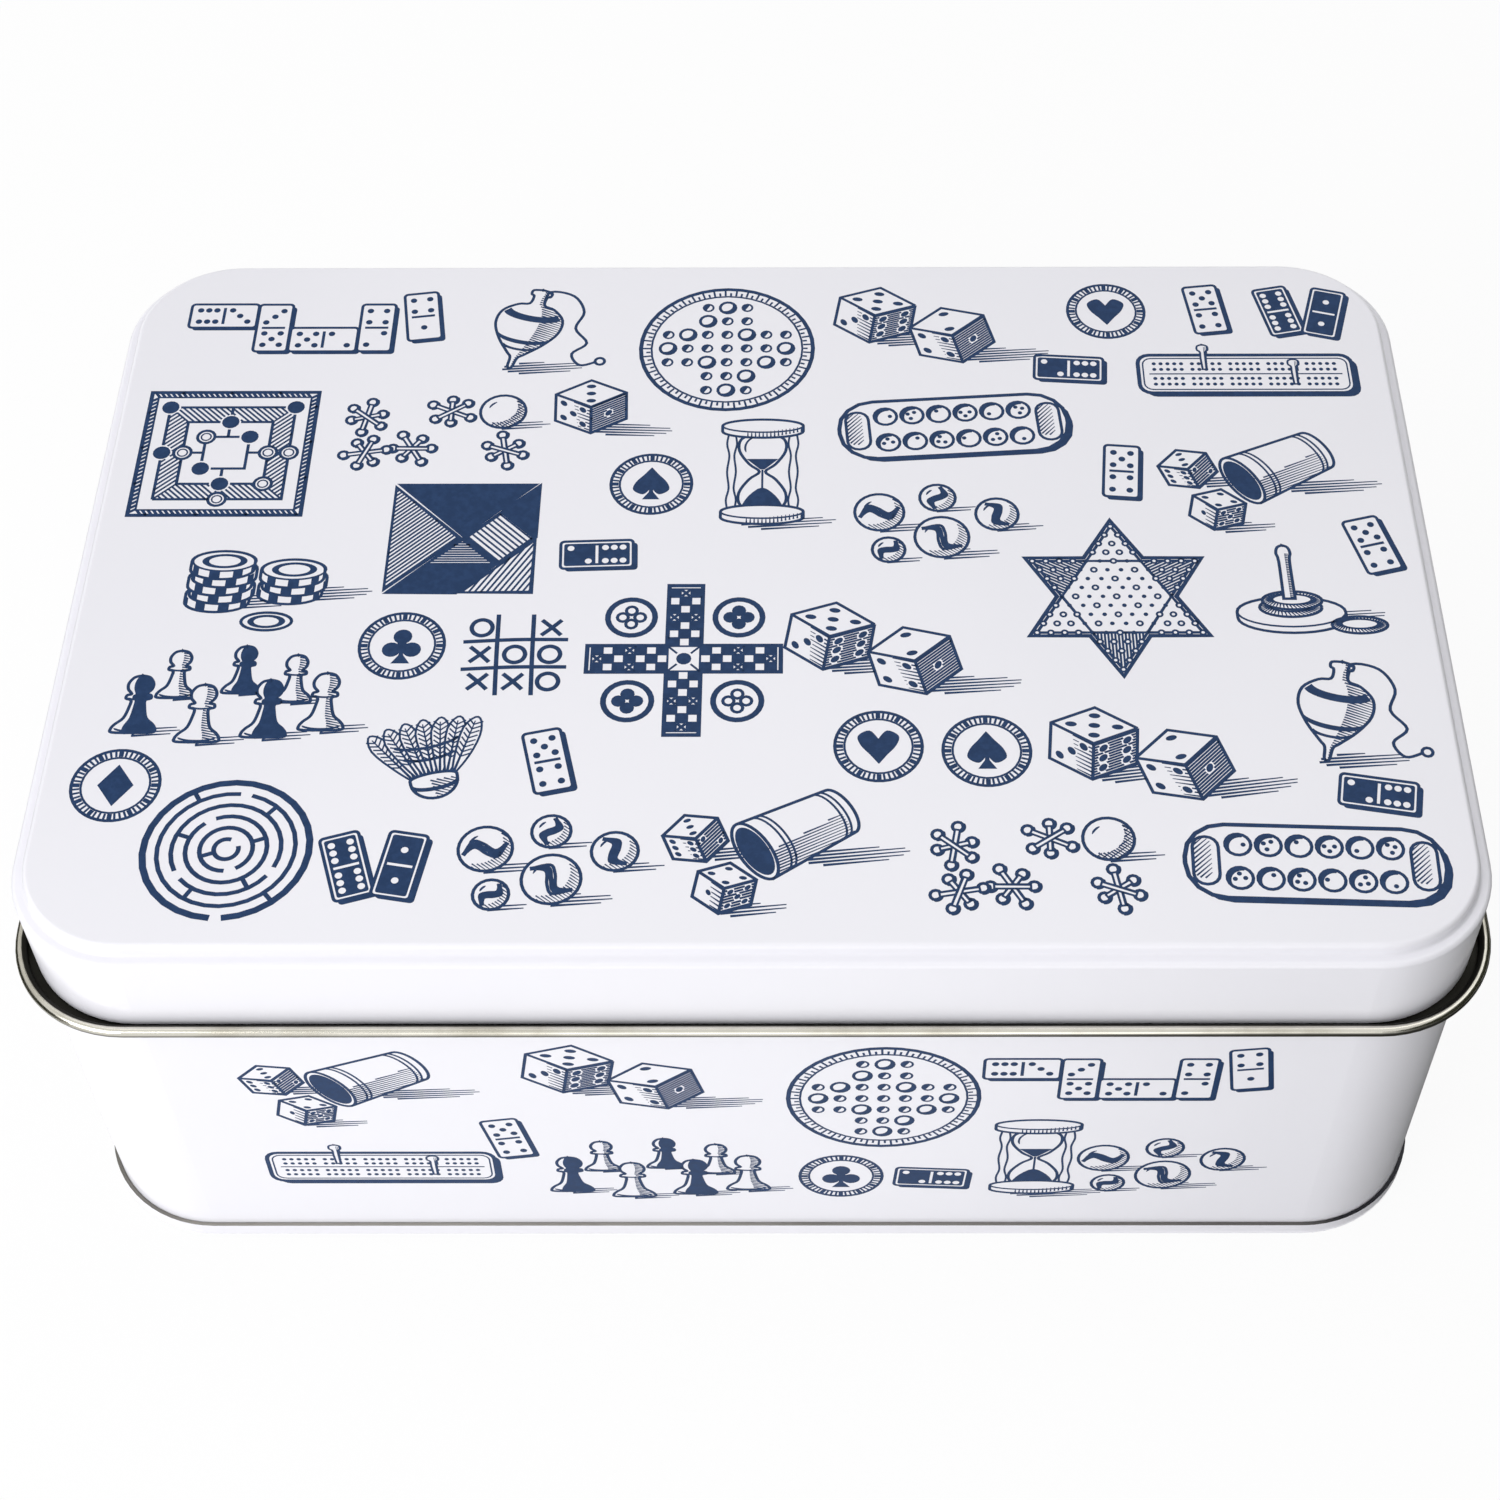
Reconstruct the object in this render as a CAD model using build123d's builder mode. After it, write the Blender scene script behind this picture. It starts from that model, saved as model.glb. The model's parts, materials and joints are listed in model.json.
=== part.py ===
"""Hinged card game tin: tinplate body and lid, two small hinges, card tray and decks.

Millimetres, +Z up. The tin stands on Z = 0, its front faces -Y and its hinges are
at the back. The origin lies under the middle of the whole object's outline.
"""
from build123d import *
import os
from math import acos, atan2, cos, degrees, hypot, radians, sin

# Outline of the tin, seen from above
TIN_WIDTH = 240.0
TIN_DEPTH = 162.5
LID_CORNER_RADIUS = 20.0
WALL_CORNER_RADIUS = 20.7

# Tinplate of the body and lid
TINPLATE = 0.3
SEAM_CLEARANCE = 0.1

# Body wall, with its flange under the rim and its folded side seam
BODY_HEIGHT = 70.75
WALL_FLANGE_REACH = 1.3
SIDE_SEAM_WIDTH = 5.0
SIDE_SEAM_MARGIN = 5.0

# Base pan, seamed round the bottom of the wall
BASE_RIM_HEIGHT = 3.4
BASE_RIM_THICKNESS = 0.66
BASE_EDGE_RADIUS = 0.5
FLOOR_RECESS = 2.0

# Rolled rim and neck at the mouth of the body
BEAD_RADIUS = 1.0
BEAD_GAP = 0.65
BEAD_CORNER_EASE = 2.05
CURL_END_ANGLE = 200.0
NECK_RISE = 9.0
NECK_CLEARANCE = 0.6
NECK_HEM_HEIGHT = 2.5
NECK_LIP_RADIUS = 0.25

# Lid: a skirt, a shoulder and a raised top panel
LID_SEAT_GAP = 0.3
SKIRT_HEIGHT = 16.85
SHOULDER_RADIUS = 0.8
PANEL_INSET = 2.2
PANEL_RISE = 2.3
PANEL_EDGE_RADIUS = 0.9
PANEL_FOOT_RADIUS = 0.6
SKIRT_HEM_HEIGHT = 3.0

# Two hinges on the back
HINGE_SPACING = 140.0
HINGE_LENGTH = 26.0
HINGE_SHEET = 0.5
HINGE_PLATE_HEIGHT = 9.8
HINGE_BEND_HEIGHT = 3.2
HINGE_BEND_RADIUS = 0.7
HINGE_BEAD_CLEARANCE = 0.35
LID_KNUCKLE_LENGTH = 10.0
KNUCKLE_GAP = 0.3
PIN_RADIUS = 0.75
PIN_CLEARANCE = 0.05
PIN_HEAD_RADIUS = 1.15
PIN_HEAD_THICKNESS = 0.5
LID_OPENING_ANGLE = 108.0
STOP_CLEARANCE = 0.12
TONGUE_CLEARANCE = 0.3

# Rivets that hold the hinge leaves
RIVET_END_MARGIN = 5.0
RIVET_RADIUS = 0.9
RIVET_HOLE_CLEARANCE = 0.05
RIVET_HEAD_RADIUS = 1.6
RIVET_HEAD_THICKNESS = 0.6
RIVET_TAIL_THICKNESS = 0.4

# Playing cards and their paper bands
CARD_LENGTH = 88.0
CARD_WIDTH = 63.0
CARD_CORNER_RADIUS = 3.2
CARD_THICKNESS = 0.3
CARDS_PER_DECK = 54
BAND_WIDTH = 24.0
BAND_THICKNESS = 0.2

# Moulded tray that holds the decks
TRAY_SHEET = 0.8
TRAY_TOP_HEIGHT = 62.0
TRAY_FIT_CLEARANCE = 0.5
TRAY_EDGE_RADIUS = 1.2
WELL_CLEARANCE = 1.0
WELL_DEPTH = 18.0
FINGER_SLOT_WIDTH = 22.0
FINGER_SLOT_DEPTH = 13.0
FINGER_SLOT_MARGIN = 6.0
FINGER_SLOT_EASE = 0.5

# Heights that follow from the sizes above
rim_web_top = BODY_HEIGHT + TINPLATE
bead_height = BODY_HEIGHT + BEAD_RADIUS
neck_top = rim_web_top + NECK_RISE
skirt_bottom = rim_web_top + LID_SEAT_GAP
shoulder_height = skirt_bottom + SKIRT_HEIGHT
lid_top = shoulder_height + PANEL_RISE
floor_height = FLOOR_RECESS + TINPLATE

# Insets from the outer face of the wall and skirt, inwards positive
bead_inset = -(BEAD_GAP + BEAD_RADIUS)
neck_inset = 2 * TINPLATE + NECK_CLEARANCE
neck_hem_inset = neck_inset + TINPLATE
tray_inset = neck_hem_inset + TINPLATE + TRAY_FIT_CLEARANCE
pan_inset = TINPLATE + SEAM_CLEARANCE
rim_reach = SEAM_CLEARANCE + BASE_RIM_THICKNESS
bead_corner_radius = LID_CORNER_RADIUS - bead_inset - BEAD_CORNER_EASE

# Hinge: the pin lies just behind the rolled rim, at its height
knuckle_bore = PIN_RADIUS + PIN_CLEARANCE
knuckle_radius = knuckle_bore + HINGE_SHEET
knuckle_middle = knuckle_bore + HINGE_SHEET / 2
bead_reach = BEAD_RADIUS - bead_inset
axis_reach = bead_reach + HINGE_BEAD_CLEARANCE + knuckle_radius
leaf_middle = axis_reach - HINGE_SHEET / 2
rivet_height = HINGE_BEND_HEIGHT + HINGE_BEND_RADIUS + HINGE_PLATE_HEIGHT / 2
leaf_plate_middle = HINGE_BEND_HEIGHT + HINGE_BEND_RADIUS + HINGE_PLATE_HEIGHT / 2
body_knuckle_length = (HINGE_LENGTH - LID_KNUCKLE_LENGTH) / 2 - KNUCKLE_GAP
rivet_grip = HINGE_SHEET + TINPLATE
rivet_spacing = HINGE_LENGTH - 2 * RIVET_END_MARGIN
rivet_dome_radius = (RIVET_HEAD_RADIUS**2 + RIVET_HEAD_THICKNESS**2) / (2 * RIVET_HEAD_THICKNESS)
tongue_inner = knuckle_radius + TONGUE_CLEARANCE
tongue_middle = tongue_inner + HINGE_SHEET / 2
tongue_outer = tongue_inner + HINGE_SHEET


def tangent_angle(radius):
    """Return the angle, in degrees, where a line from the lid leaf's bend meets a circle.

    The circle of that radius is centred on the pin. Angles are counted from the
    backward direction, upwards.
    """
    bend_angle = atan2(HINGE_BEND_HEIGHT, -leaf_middle)
    bend_distance = hypot(HINGE_BEND_HEIGHT, leaf_middle)
    return degrees(bend_angle - acos(radius / bend_distance))


# The stop tongue ends where the lid leaf's arm arrives when the lid is fully open
arm_angle_open = tangent_angle(knuckle_middle) - LID_OPENING_ANGLE
stop_turn = degrees(acos((knuckle_radius + STOP_CLEARANCE) / tongue_inner))
tongue_end_angle = arm_angle_open + stop_turn
back_reach = axis_reach + tongue_outer * cos(radians(min(tongue_end_angle, 0)))
tin_centre_y = (bead_reach - back_reach) / 2
back_face_y = tin_centre_y + TIN_DEPTH / 2
hinge_axis_y = back_face_y + axis_reach

# Cards and the tray's wells
deck_thickness = CARDS_PER_DECK * CARD_THICKNESS
well_length = CARD_LENGTH + 2 * WELL_CLEARANCE
well_width = CARD_WIDTH + 2 * (BAND_THICKNESS + WELL_CLEARANCE)
well_radius = CARD_CORNER_RADIUS + WELL_CLEARANCE
well_floor = TRAY_TOP_HEIGHT - WELL_DEPTH
tray_length = TIN_WIDTH - 2 * tray_inset
tray_width = TIN_DEPTH - 2 * tray_inset
tray_radius = LID_CORNER_RADIUS - tray_inset
well_pitch_x = (tray_length + well_length) / 3
well_pitch_y = (tray_width + well_width) / 3
slot_length = tray_width - 2 * FINGER_SLOT_MARGIN
well_places = [(column, row) for row in (-1, 1) for column in (-1, 1)]


def tin_plane(height):
    """Return the level plane at a height, centred on the tin."""
    return Plane(origin=(0, tin_centre_y, height))


def hinge_plane(x):
    """Return the plane across a hinge at x: its first axis points back, its second up."""
    return Plane(origin=(x, hinge_axis_y, bead_height), x_dir=(0, 1, 0), z_dir=(1, 0, 0))


def rivet_plane(x, height):
    """Return the plane on the back face at a height from the pin, facing backwards."""
    place = (x, back_face_y, bead_height + height)
    return Plane(origin=place, x_dir=(1, 0, 0), z_dir=(0, 1, 0))


def tin_outline(inset, corner_radius, mode=Mode.ADD):
    """Draw the tin's rounded outline, moved in by inset."""
    RectangleRounded(
        TIN_WIDTH - 2 * inset, TIN_DEPTH - 2 * inset, corner_radius, mode=mode
    )


def outline_band(inset, corner_radius, thickness):
    """Draw a closed band of sheet whose outer edge lies at inset."""
    tin_outline(inset, corner_radius)
    tin_outline(inset + thickness, corner_radius - thickness, Mode.SUBTRACT)


def polar_point(radius, angle):
    """Return the point at a radius and angle, in degrees, round the pin."""
    return (radius * cos(radians(angle)), radius * sin(radians(angle)))


def drawn_form(inset):
    """Return the lid's form as a solid whose surface lies inset inside its outer face."""
    ledge_height = shoulder_height - inset
    with BuildPart() as form:
        with BuildSketch(tin_plane(skirt_bottom)):
            tin_outline(inset, LID_CORNER_RADIUS - inset)
        extrude(amount=ledge_height - skirt_bottom)
        with BuildSketch(tin_plane(skirt_bottom)):
            tin_outline(PANEL_INSET + inset, LID_CORNER_RADIUS - PANEL_INSET - inset)
        extrude(amount=lid_top - inset - skirt_bottom)
        ledge = form.faces().filter_by(Axis.Z).sort_by(Axis.Z)[-2]
        fillet(ledge.inner_wires()[0].edges(), PANEL_FOOT_RADIUS + inset)
        fillet(form.faces().sort_by(Axis.Z)[-1].edges(), PANEL_EDGE_RADIUS - inset)
        shoulder = form.faces().filter_by(Axis.Z).sort_by(Axis.Z)[-2]
        fillet(shoulder.outer_wire().edges(), SHOULDER_RADIUS - inset)
    return form.part


def leaf_section(side):
    """Draw a leaf's arm and knuckle; side is 1 on the lid and -1 on the body."""
    bend = (-leaf_middle, side * HINGE_BEND_HEIGHT)
    end_angle = side * tangent_angle(knuckle_middle)
    with BuildLine() as arm:
        FilletPolyline(
            (-leaf_middle, side * (HINGE_BEND_HEIGHT + HINGE_PLATE_HEIGHT / 2)),
            bend,
            polar_point(knuckle_middle, end_angle),
            radius=HINGE_BEND_RADIUS,
        )
    trace(arm.line, line_width=HINGE_SHEET)
    Circle(knuckle_radius)
    Circle(knuckle_bore, mode=Mode.SUBTRACT)


def tongue_section():
    """Draw the body leaf's stop tongue, which passes under and behind the lid's knuckle."""
    start_angle = -tangent_angle(tongue_middle)
    with BuildLine() as tongue:
        FilletPolyline(
            (-leaf_middle, -HINGE_BEND_HEIGHT - HINGE_PLATE_HEIGHT / 2),
            (-leaf_middle, -HINGE_BEND_HEIGHT),
            polar_point(tongue_middle, start_angle),
            radius=HINGE_BEND_RADIUS,
        )
        CenterArc((0, 0), tongue_middle, start_angle, tongue_end_angle - start_angle)
    trace(tongue.line, line_width=HINGE_SHEET)


def leaf_rivet_planes(hinge_x, side):
    """Return the planes on a leaf's outer face where its rivets pass through."""
    return [
        rivet_plane(hinge_x + end * rivet_spacing / 2, side * rivet_height).offset(HINGE_SHEET)
        for end in (-1, 1)
    ]


def rivet_head_plane(x, height):
    """Return the plane through a rivet: its first axis is across, its second along it."""
    return Plane(
        origin=(x, back_face_y + HINGE_SHEET, bead_height + height),
        x_dir=(1, 0, 0),
        z_dir=(0, 0, 1),
    )


def rivet_axis(x, height):
    """Return the middle line of a rivet."""
    return Axis((x, back_face_y, bead_height + height), (0, 1, 0))


hinge_places = {"left": -HINGE_SPACING / 2, "right": HINGE_SPACING / 2}
rivet_places = [
    x + side * rivet_spacing / 2 for x in hinge_places.values() for side in (-1, 1)
]
finished_parts = []

# Body wall: one band of sheet, flanged outwards under the rim, with a folded seam
with BuildPart() as body_wall:
    with BuildSketch(tin_plane(TINPLATE)):
        outline_band(0, WALL_CORNER_RADIUS, TINPLATE)
    extrude(amount=BODY_HEIGHT - TINPLATE)
    with BuildSketch(tin_plane(BODY_HEIGHT - TINPLATE)):
        tin_outline(-WALL_FLANGE_REACH, bead_corner_radius)
        tin_outline(TINPLATE, WALL_CORNER_RADIUS - TINPLATE, Mode.SUBTRACT)
    extrude(amount=TINPLATE)
    with BuildSketch(tin_plane(SIDE_SEAM_MARGIN)):
        with Locations((0, TIN_DEPTH / 2 - 1.5 * TINPLATE)):
            Rectangle(SIDE_SEAM_WIDTH, 2 * TINPLATE)
    extrude(amount=BODY_HEIGHT - 2 * SIDE_SEAM_MARGIN)
    with Locations(*[rivet_plane(x, -rivet_height) for x in rivet_places]):
        Hole(RIVET_RADIUS + RIVET_HOLE_CLEARANCE, depth=2 * TINPLATE)
body_wall.part.label = "body_wall"
finished_parts.append(body_wall.part)

# Base pan: a recessed floor whose rim is folded up round the bottom of the wall
with BuildPart() as base_pan:
    with BuildSketch(tin_plane(0)):
        tin_outline(-rim_reach, WALL_CORNER_RADIUS + rim_reach)
    extrude(amount=BASE_RIM_HEIGHT)
    fillet(base_pan.faces().sort_by(Axis.Z)[0].edges(), BASE_EDGE_RADIUS)
    with BuildSketch(tin_plane(TINPLATE)):
        tin_outline(-SEAM_CLEARANCE, WALL_CORNER_RADIUS + SEAM_CLEARANCE)
    extrude(amount=BASE_RIM_HEIGHT, mode=Mode.SUBTRACT)
    with BuildSketch(tin_plane(0)):
        tin_outline(pan_inset, WALL_CORNER_RADIUS - pan_inset)
    extrude(amount=floor_height)
    with BuildSketch(tin_plane(0)):
        tin_outline(pan_inset + TINPLATE, WALL_CORNER_RADIUS - pan_inset - TINPLATE)
    extrude(amount=FLOOR_RECESS, mode=Mode.SUBTRACT)
base_pan.part.label = "base_pan"
finished_parts.append(base_pan.part)

# Path of the rolled rim's middle line, and the plane across it where it starts
with BuildSketch(tin_plane(bead_height)) as bead_outline:
    tin_outline(bead_inset, bead_corner_radius)
bead_path = bead_outline.sketch.face().outer_wire()
bead_start = Plane(
    origin=bead_path @ 0, x_dir=(bead_path % 0).cross(Vector(0, 0, 1)), z_dir=-(bead_path % 0)
)

# Neck ring: neck with a hem at its top, gutter under the lid, and the rolled rim
with BuildPart() as neck_ring:
    with BuildSketch(tin_plane(BODY_HEIGHT)):
        outline_band(neck_inset, LID_CORNER_RADIUS - neck_inset, TINPLATE)
    extrude(amount=neck_top - BODY_HEIGHT)
    with BuildSketch(tin_plane(neck_top - NECK_HEM_HEIGHT)):
        outline_band(neck_inset, LID_CORNER_RADIUS - neck_inset, 2 * TINPLATE)
    extrude(amount=NECK_HEM_HEIGHT)
    neck_lips = neck_ring.faces().sort_by(Axis.Z)[-1].edges()
    fillet(neck_lips, NECK_LIP_RADIUS)
    with BuildSketch(tin_plane(BODY_HEIGHT)):
        tin_outline(bead_inset, bead_corner_radius)
        tin_outline(neck_inset, LID_CORNER_RADIUS - neck_inset, Mode.SUBTRACT)
    extrude(amount=TINPLATE)
    with BuildSketch(bead_start):
        Circle(BEAD_RADIUS)
        Circle(BEAD_RADIUS - TINPLATE, mode=Mode.SUBTRACT)
        with BuildLine():
            Polyline(
                (0, 0),
                polar_point(2 * BEAD_RADIUS, CURL_END_ANGLE),
                (-2 * BEAD_RADIUS, -2 * BEAD_RADIUS),
                (0, -2 * BEAD_RADIUS),
                close=True,
            )
        make_face(mode=Mode.SUBTRACT)
    sweep(path=bead_path)
neck_ring.part.label = "neck_ring"
finished_parts.append(neck_ring.part)

# Lid: drawn from one sheet, with a hem inside the bottom of its skirt
lid_outside = drawn_form(0)
lid_inside = drawn_form(TINPLATE)
with BuildPart() as lid_shell:
    add(lid_outside)
    add(lid_inside, mode=Mode.SUBTRACT)
    with BuildSketch(tin_plane(skirt_bottom)):
        outline_band(0, LID_CORNER_RADIUS, 2 * TINPLATE)
    extrude(amount=SKIRT_HEM_HEIGHT)
    with Locations(*[rivet_plane(x, rivet_height) for x in rivet_places]):
        Hole(RIVET_RADIUS + RIVET_HOLE_CLEARANCE, depth=2 * TINPLATE)
lid_shell.part.label = "lid_shell"
finished_parts.append(lid_shell.part)

# Hinges: each has a leaf on the lid, a leaf on the body and a pin through both
for side_name, hinge_x in hinge_places.items():
    with BuildPart() as lid_leaf:
        with BuildSketch(hinge_plane(hinge_x - LID_KNUCKLE_LENGTH / 2)):
            leaf_section(1)
        extrude(amount=LID_KNUCKLE_LENGTH)
        with BuildSketch(rivet_plane(hinge_x, leaf_plate_middle)):
            Rectangle(HINGE_LENGTH, HINGE_PLATE_HEIGHT)
        extrude(amount=HINGE_SHEET)
        with Locations(*leaf_rivet_planes(hinge_x, 1)):
            Hole(RIVET_RADIUS + RIVET_HOLE_CLEARANCE, depth=HINGE_SHEET)
    lid_leaf.part.label = f"hinge_lid_leaf_{side_name}"
    finished_parts.append(lid_leaf.part)

    with BuildPart() as body_leaf:
        for edge in (-1, 1):
            knuckle_x = hinge_x + edge * (HINGE_LENGTH - body_knuckle_length) / 2
            with BuildSketch(hinge_plane(knuckle_x - body_knuckle_length / 2)):
                leaf_section(-1)
            extrude(amount=body_knuckle_length)
        with BuildSketch(hinge_plane(hinge_x - LID_KNUCKLE_LENGTH / 2)):
            tongue_section()
        extrude(amount=LID_KNUCKLE_LENGTH)
        with BuildSketch(rivet_plane(hinge_x, -leaf_plate_middle)):
            Rectangle(HINGE_LENGTH, HINGE_PLATE_HEIGHT)
        extrude(amount=HINGE_SHEET)
        with Locations(*leaf_rivet_planes(hinge_x, -1)):
            Hole(RIVET_RADIUS + RIVET_HOLE_CLEARANCE, depth=HINGE_SHEET)
    body_leaf.part.label = f"hinge_body_leaf_{side_name}"
    finished_parts.append(body_leaf.part)

    with BuildPart() as hinge_pin:
        with BuildSketch(hinge_plane(hinge_x - HINGE_LENGTH / 2)):
            Circle(PIN_RADIUS)
        extrude(amount=HINGE_LENGTH)
        for end, direction in ((-1, -1), (1, 1)):
            with BuildSketch(hinge_plane(hinge_x + end * HINGE_LENGTH / 2)):
                Circle(PIN_HEAD_RADIUS)
            extrude(amount=direction * PIN_HEAD_THICKNESS)
        fillet(hinge_pin.faces().sort_by(Axis.X)[0].edges(), PIN_HEAD_THICKNESS / 2)
        fillet(hinge_pin.faces().sort_by(Axis.X)[-1].edges(), PIN_HEAD_THICKNESS / 2)
    hinge_pin.part.label = f"hinge_pin_{side_name}"
    finished_parts.append(hinge_pin.part)

# Rivets: a domed head outside the leaf, a shank through both sheets and a flat tail
for owner, direction in (("lid", 1), ("body", -1)):
    with BuildPart() as rivets:
        for x in rivet_places:
            with BuildSketch(rivet_head_plane(x, direction * rivet_height)):
                with BuildLine():
                    Polyline(
                        (RIVET_HEAD_RADIUS, 0),
                        (RIVET_RADIUS, 0),
                        (RIVET_RADIUS, -rivet_grip),
                        (RIVET_HEAD_RADIUS, -rivet_grip),
                        (RIVET_HEAD_RADIUS, -rivet_grip - RIVET_TAIL_THICKNESS),
                        (0, -rivet_grip - RIVET_TAIL_THICKNESS),
                        (0, RIVET_HEAD_THICKNESS),
                    )
                    RadiusArc(
                        (0, RIVET_HEAD_THICKNESS), (RIVET_HEAD_RADIUS, 0), rivet_dome_radius
                    )
                make_face()
            revolve(axis=rivet_axis(x, direction * rivet_height))
    rivets.part.label = f"{owner}_hinge_rivets"
    finished_parts.append(rivets.part)

# Card tray: one moulded sheet with a well for each deck and a finger slot per column
with BuildPart() as card_tray:
    with BuildSketch(tin_plane(floor_height)):
        tin_outline(tray_inset, tray_radius)
    extrude(amount=TRAY_TOP_HEIGHT - floor_height)
    fillet(card_tray.faces().sort_by(Axis.Z)[-1].edges(), TRAY_EDGE_RADIUS)
    with BuildSketch(tin_plane(floor_height)):
        tin_outline(tray_inset + TRAY_SHEET, tray_radius - TRAY_SHEET)
    extrude(amount=TRAY_TOP_HEIGHT - TRAY_SHEET - floor_height, mode=Mode.SUBTRACT)
    for grow, mode in ((TRAY_SHEET, Mode.ADD), (0, Mode.SUBTRACT)):
        with BuildSketch(tin_plane(TRAY_TOP_HEIGHT)):
            with GridLocations(well_pitch_x, well_pitch_y, 2, 2):
                RectangleRounded(
                    well_length + 2 * grow, well_width + 2 * grow, well_radius + grow
                )
        extrude(amount=-WELL_DEPTH - grow, mode=mode)
        with BuildSketch(tin_plane(TRAY_TOP_HEIGHT)):
            with GridLocations(well_pitch_x, 0, 2, 1):
                RectangleRounded(
                    FINGER_SLOT_WIDTH + 2 * grow,
                    slot_length + 2 * grow,
                    FINGER_SLOT_WIDTH / 2 - FINGER_SLOT_EASE + grow,
                )
        extrude(amount=-FINGER_SLOT_DEPTH - grow, mode=mode)
card_tray.part.label = "card_tray"
finished_parts.append(card_tray.part)

# Decks: a stack of cards in each well, held by a paper band
for number, (column, row) in enumerate(well_places, start=1):
    deck_plane = tin_plane(well_floor).offset(BAND_THICKNESS)
    deck_plane.origin += Vector(column * well_pitch_x / 2, row * well_pitch_y / 2, 0)
    with BuildPart() as card_deck:
        with BuildSketch(deck_plane):
            RectangleRounded(CARD_LENGTH, CARD_WIDTH, CARD_CORNER_RADIUS)
        extrude(amount=deck_thickness)
    card_deck.part.label = f"card_deck_{number}"
    finished_parts.append(card_deck.part)

    band_plane = Plane(
        origin=deck_plane.origin + Vector(-BAND_WIDTH / 2, 0, deck_thickness / 2),
        x_dir=(0, 1, 0),
        z_dir=(1, 0, 0),
    )
    with BuildPart() as deck_band:
        with BuildSketch(band_plane):
            Rectangle(CARD_WIDTH + 2 * BAND_THICKNESS, deck_thickness + 2 * BAND_THICKNESS)
            Rectangle(CARD_WIDTH, deck_thickness, mode=Mode.SUBTRACT)
        extrude(amount=BAND_WIDTH)
    deck_band.part.label = f"deck_band_{number}"
    finished_parts.append(deck_band.part)

os.makedirs("parts", exist_ok=True)
for finished in finished_parts:
    export_step(finished, f"parts/{finished.label}.step")
print("lid top", round(lid_top, 2), "deck top", round(well_floor + deck_thickness, 2))
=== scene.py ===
"""Dressed model of a printed card game tin with a hinged lid.

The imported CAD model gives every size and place. This script adds the lacquer, the
bare rim, the one-colour print and the card tray's contents, and a small studio.
"""

from __future__ import annotations

import cmath
import json
import logging
import math
from dataclasses import dataclass, field
from enum import Enum
from typing import Any, Sequence, Union

import bpy
from mathutils import Matrix, Vector
from mathutils.geometry import delaunay_2d_cdt

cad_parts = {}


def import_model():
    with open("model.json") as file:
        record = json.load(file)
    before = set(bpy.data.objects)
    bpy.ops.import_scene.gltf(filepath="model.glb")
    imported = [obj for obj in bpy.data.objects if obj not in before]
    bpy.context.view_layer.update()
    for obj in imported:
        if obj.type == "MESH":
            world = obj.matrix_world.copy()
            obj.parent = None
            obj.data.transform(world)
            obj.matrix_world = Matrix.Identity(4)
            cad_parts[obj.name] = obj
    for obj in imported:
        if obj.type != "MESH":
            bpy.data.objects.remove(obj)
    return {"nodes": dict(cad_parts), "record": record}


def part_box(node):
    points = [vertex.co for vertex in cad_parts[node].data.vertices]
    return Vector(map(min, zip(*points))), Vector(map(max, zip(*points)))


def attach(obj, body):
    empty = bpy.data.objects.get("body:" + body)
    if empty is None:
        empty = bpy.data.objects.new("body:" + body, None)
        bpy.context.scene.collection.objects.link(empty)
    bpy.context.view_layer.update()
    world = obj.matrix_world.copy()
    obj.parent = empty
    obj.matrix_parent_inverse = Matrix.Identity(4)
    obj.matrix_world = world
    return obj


LOG = logging.getLogger("card_tin")
MM = 0.001

Colour = tuple[float, float, float]
Triple = tuple[float, float, float]


def srgb(red: int, green: int, blue: int) -> Colour:
    """Turn a colour as seen on screen into linear values.

    Args:
        red: Red, 0 to 255.
        green: Green, 0 to 255.
        blue: Blue, 0 to 255.

    Returns:
        The linear colour.
    """

    def linear(channel: int) -> float:
        """Undo the screen's gamma on one channel."""
        value = channel / 255
        return value / 12.92 if value <= 0.04045 else ((value + 0.055) / 1.055) ** 2.4

    return (linear(red), linear(green), linear(blue))


# ---------------------------------------------------------------- shader maths


class Value:
    """A number in a material, which Python's operators turn into Math nodes."""

    def __init__(self, shader: "Shader", socket: bpy.types.NodeSocket) -> None:
        """Wrap one output socket of a shader's tree."""
        self.shader = shader
        self.socket = socket

    def _maths(self, operation: str, first: Any, second: Any) -> "Value":
        """Add one Math node and return its result."""
        return self.shader.value("Math", {"operation": operation}, {0: first, 1: second})

    def __add__(self, other: Any) -> "Value":
        """Add."""
        return self._maths("ADD", self, other)

    def __sub__(self, other: Any) -> "Value":
        """Subtract."""
        return self._maths("SUBTRACT", self, other)

    def __rsub__(self, other: Any) -> "Value":
        """Subtract from a plain number."""
        return self._maths("SUBTRACT", other, self)

    def __mul__(self, other: Any) -> "Value":
        """Multiply."""
        return self._maths("MULTIPLY", self, other)

    def __truediv__(self, other: Any) -> "Value":
        """Divide."""
        return self._maths("DIVIDE", self, other)

    def __abs__(self) -> "Value":
        """Drop the sign."""
        return self._maths("ABSOLUTE", self, 0.0)

    def larger(self, other: "Value") -> "Value":
        """Return the larger of two values."""
        return self._maths("MAXIMUM", self, other)

    def above(self, edge: float, softness: float) -> "Value":
        """Return 0 below an edge and 1 above it, with a soft step between.

        Args:
            edge: The middle of the step.
            softness: Half the step's length.

        Returns:
            The step.
        """
        return self.shader.value(
            "MapRange",
            {"interpolation_type": "SMOOTHSTEP"},
            {"Value": self, "From Min": edge - softness, "From Max": edge + softness},
        )


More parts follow.
